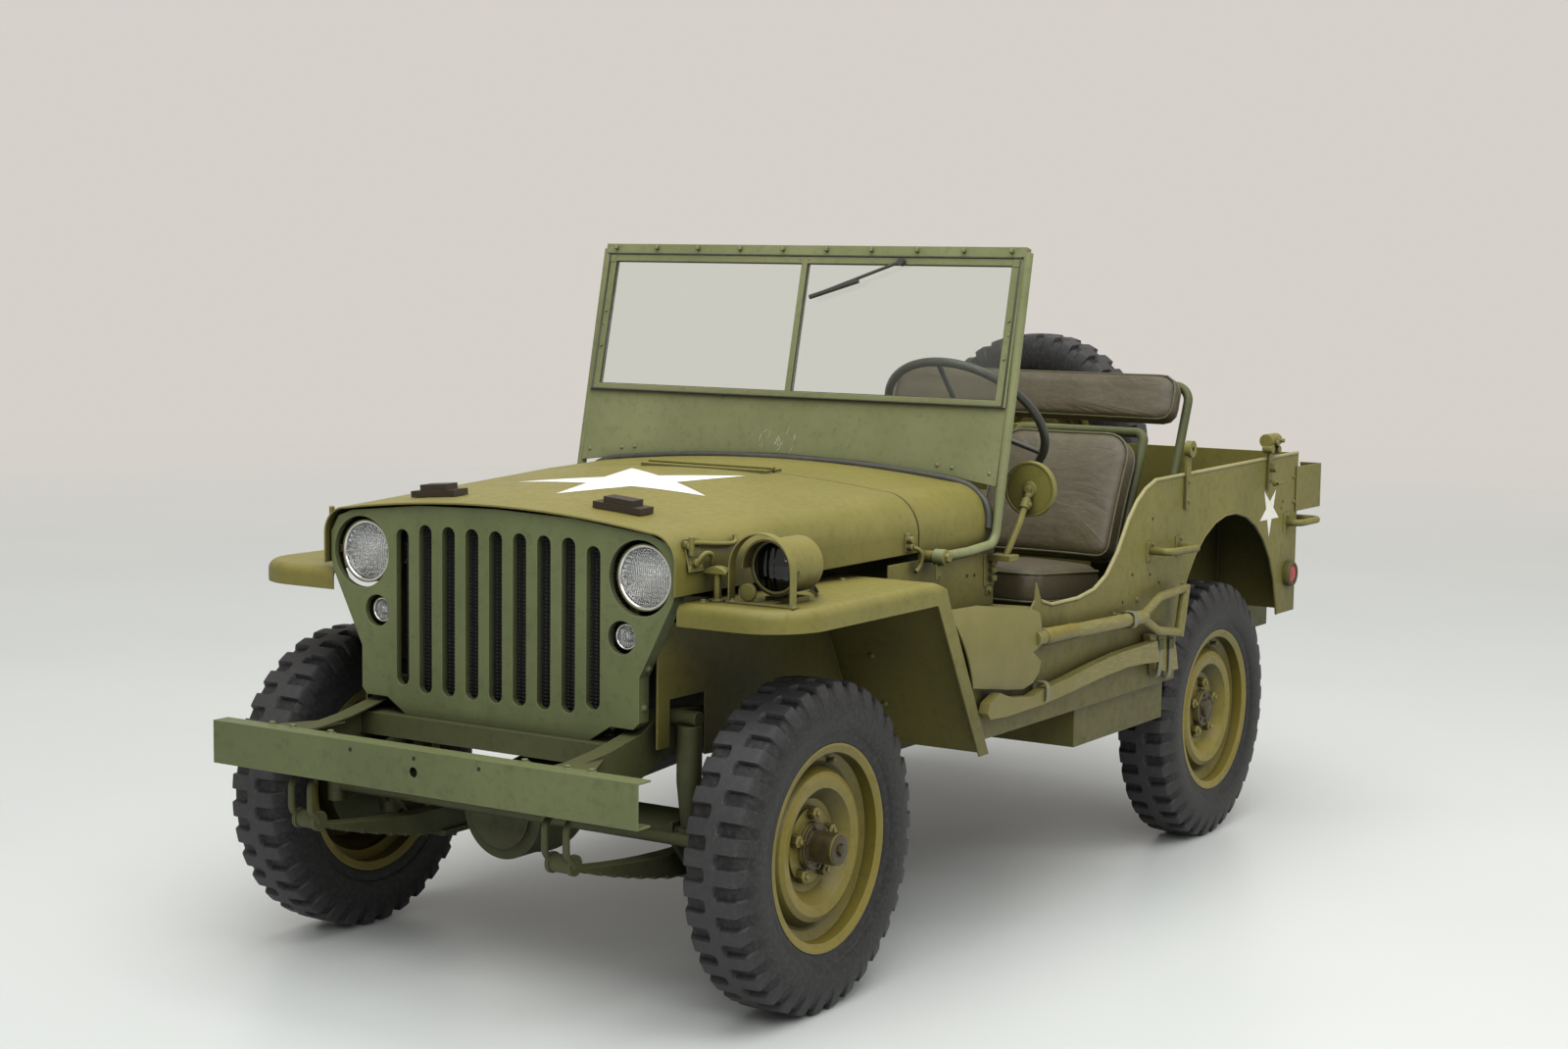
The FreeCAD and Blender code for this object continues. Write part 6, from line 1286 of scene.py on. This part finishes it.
def pad_outline(width, depth, front_corner, rear_corner, count=24):
    """The plan of a pad, its sides drawn in a little between rounded corners."""
    points = []
    for sx, sy, r in ((1, -1, front_corner), (1, 1, rear_corner), (-1, 1, rear_corner),
                      (-1, -1, front_corner)):
        first = math.degrees(math.atan2(sy, sx)) - 45
        for k in range(count // 4 + 1):
            angle = math.radians(first + 90 * k / (count // 4))
            points.append(Vector((sx * (width / 2 - r) + r * math.cos(angle),
                                  sy * (depth / 2 - r) + r * math.sin(angle), 0)))
    fine = []
    for a, b in zip(points, points[1:] + points[:1]):
        steps = max(1, round((b - a).length / 0.012))
        fine += [a.lerp(b, k / steps) for k in range(steps)]
    drawn = 0.022
    for p in fine:
        u, v = 2 * p.x / width, 2 * p.y / depth
        p.x *= 1 - drawn * (1 - v * v) * abs(u) ** 3
        p.y *= 1 - drawn * (1 - u * u) * abs(v) ** 3
    return fine


def cushion_mesh(name, outline, thick, crown, seed):
    """A stuffed pad standing on z = 0: its faces swell, its border rounds outward, and
    creases run in from the sewn edges."""
    bm = bmesh.new()
    rows = []
    # share of the way out to the edge, height on the border, swell of the face
    steps = [(s / 12, 0.0, -1) for s in range(1, 13)]
    steps += [(1.0 + 0.012 * math.sin(math.pi * t), t, 0) for t in (0.15, 0.35, 0.5, 0.65, 0.85)]
    steps += [(s / 12, 1.0, 1) for s in range(12, 0, -1)]
    for share, t, face in steps:
        row = []
        for k, p in enumerate(outline):
            flat = p * share
            turn = 2 * math.pi * k / len(outline)
            z = thick * (0.14 + 0.72 * t)
            if face:
                swell = (1 - share ** 3.2) * crown + (1 - share ** 22) * thick * 0.14
                lumps = noise.noise(Vector((flat.x * 9 + seed, flat.y * 9, face))) * 0.0032
                fold = noise.noise(Vector((math.cos(turn) * 9, math.sin(turn) * 9, seed + share * 1.3)))
                fold = max(0.0, 0.25 - abs(fold)) / 0.25
                reach = max(0.0, share - 0.62) * (1.02 - share) * 20
                z += face * (swell + lumps * (1 - share ** 4) - 0.0026 * fold * reach)
            row.append(bm.verts.new((flat.x, flat.y, z)))
        rows.append(row)
    count = len(outline)
    for one, two in zip(rows, rows[1:]):
        for k in range(count):
            m = (k + 1) % count
            bm.faces.new([one[k], one[m], two[m], two[k]])
    for row, face in ((rows[0], -1), (rows[-1], 1)):
        middle = bm.verts.new((0, 0, row[0].co.z + face * 0.0005))
        for k in range(count):
            bm.faces.new([row[(k + 1) % count], row[k], middle])
    bmesh.ops.recalc_face_normals(bm, faces=bm.faces)
    mesh = bpy.data.meshes.new(name)
    bm.to_mesh(mesh)
    bm.free()
    mesh.materials.append(worn_canvas)
    return mesh


def island_boxes(node_name):
    """The boxes of a CAD node's separate solids, lowest first."""
    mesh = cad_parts[node_name].data
    bm = bmesh.new()
    bm.from_mesh(mesh)
    bmesh.ops.remove_doubles(bm, verts=bm.verts, dist=1e-5)
    left, found = set(bm.verts), []
    while left:
        stack = [left.pop()]
        group = []
        while stack:
            v = stack.pop()
            group.append(v.co.copy())
            for e in v.link_edges:
                w = e.other_vert(v)
                if w in left:
                    left.remove(w)
                    stack.append(w)
        found.append((Vector(map(min, *group)), Vector(map(max, *group))))
    bm.free()
    return sorted(found, key=lambda b: b[0].z)


PADS = (
    # node, body, which solid, tilt in degrees about X, thickness, crown, front and rear corner
    ("driver_seat_cushions", "chassis", 0, 4.3, 0.092, 0.014, 0.050, 0.030),
    ("driver_seat_cushions", "chassis", 1, -65.0, 0.062, 0.012, 0.030, 0.075),
    ("passenger_seat_cushions", "passenger_seat", 0, 4.3, 0.092, 0.014, 0.050, 0.030),
    ("passenger_seat_cushions", "passenger_seat", 1, -65.0, 0.062, 0.012, 0.030, 0.075),
    ("rear_seat_cushions", "chassis", 0, 0.0, 0.078, 0.012, 0.040, 0.030),
    ("rear_seat_cushions", "chassis", 1, -68.0, 0.052, 0.010, 0.045, 0.055),
)
made_pads = {}
for node_name, body, index, tilt, thick, crown, front_corner, rear_corner in PADS:
    low, high = island_boxes(node_name)[index]
    size, centre = high - low, (high + low) / 2
    lean = abs(math.radians(tilt))
    if index == 0:
        depth = (size.y - thick * math.sin(lean)) / math.cos(lean)
    else:
        depth = (size.z - thick * math.cos(lean)) / math.sin(lean)
    name = f"{node_name}_{index}"
    outline = pad_outline(size.x - 0.012, depth - 0.010, front_corner, rear_corner)
    pad = smooth_object(name, cushion_mesh(name, outline, thick, crown, index + 3.1), 75)
    turn = Matrix.Rotation(math.radians(-tilt), 4, "X")
    pad.matrix_world = Matrix.Translation(centre) @ turn @ Matrix.Translation((0, 0, -thick / 2))
    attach(pad, body)
    made_pads.setdefault(node_name, []).append(pad)
    # a sewn cord along both edges of the border
    cords = []
    for z in (0.13, 0.87):
        cords.append([pad.matrix_world @ (p * 1.003 + Vector((0, 0, z * thick))) for p in outline[::2]])
    round_bar(name + "_piping", cords, 0.0032, cord_canvas, body, closed=True)
for node_name, pads in made_pads.items():
    for pad in pads:
        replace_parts(pad, node_name)

# ---- Finish -------------------------------------------------------------------
# The object's box as shown.

low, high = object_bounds()
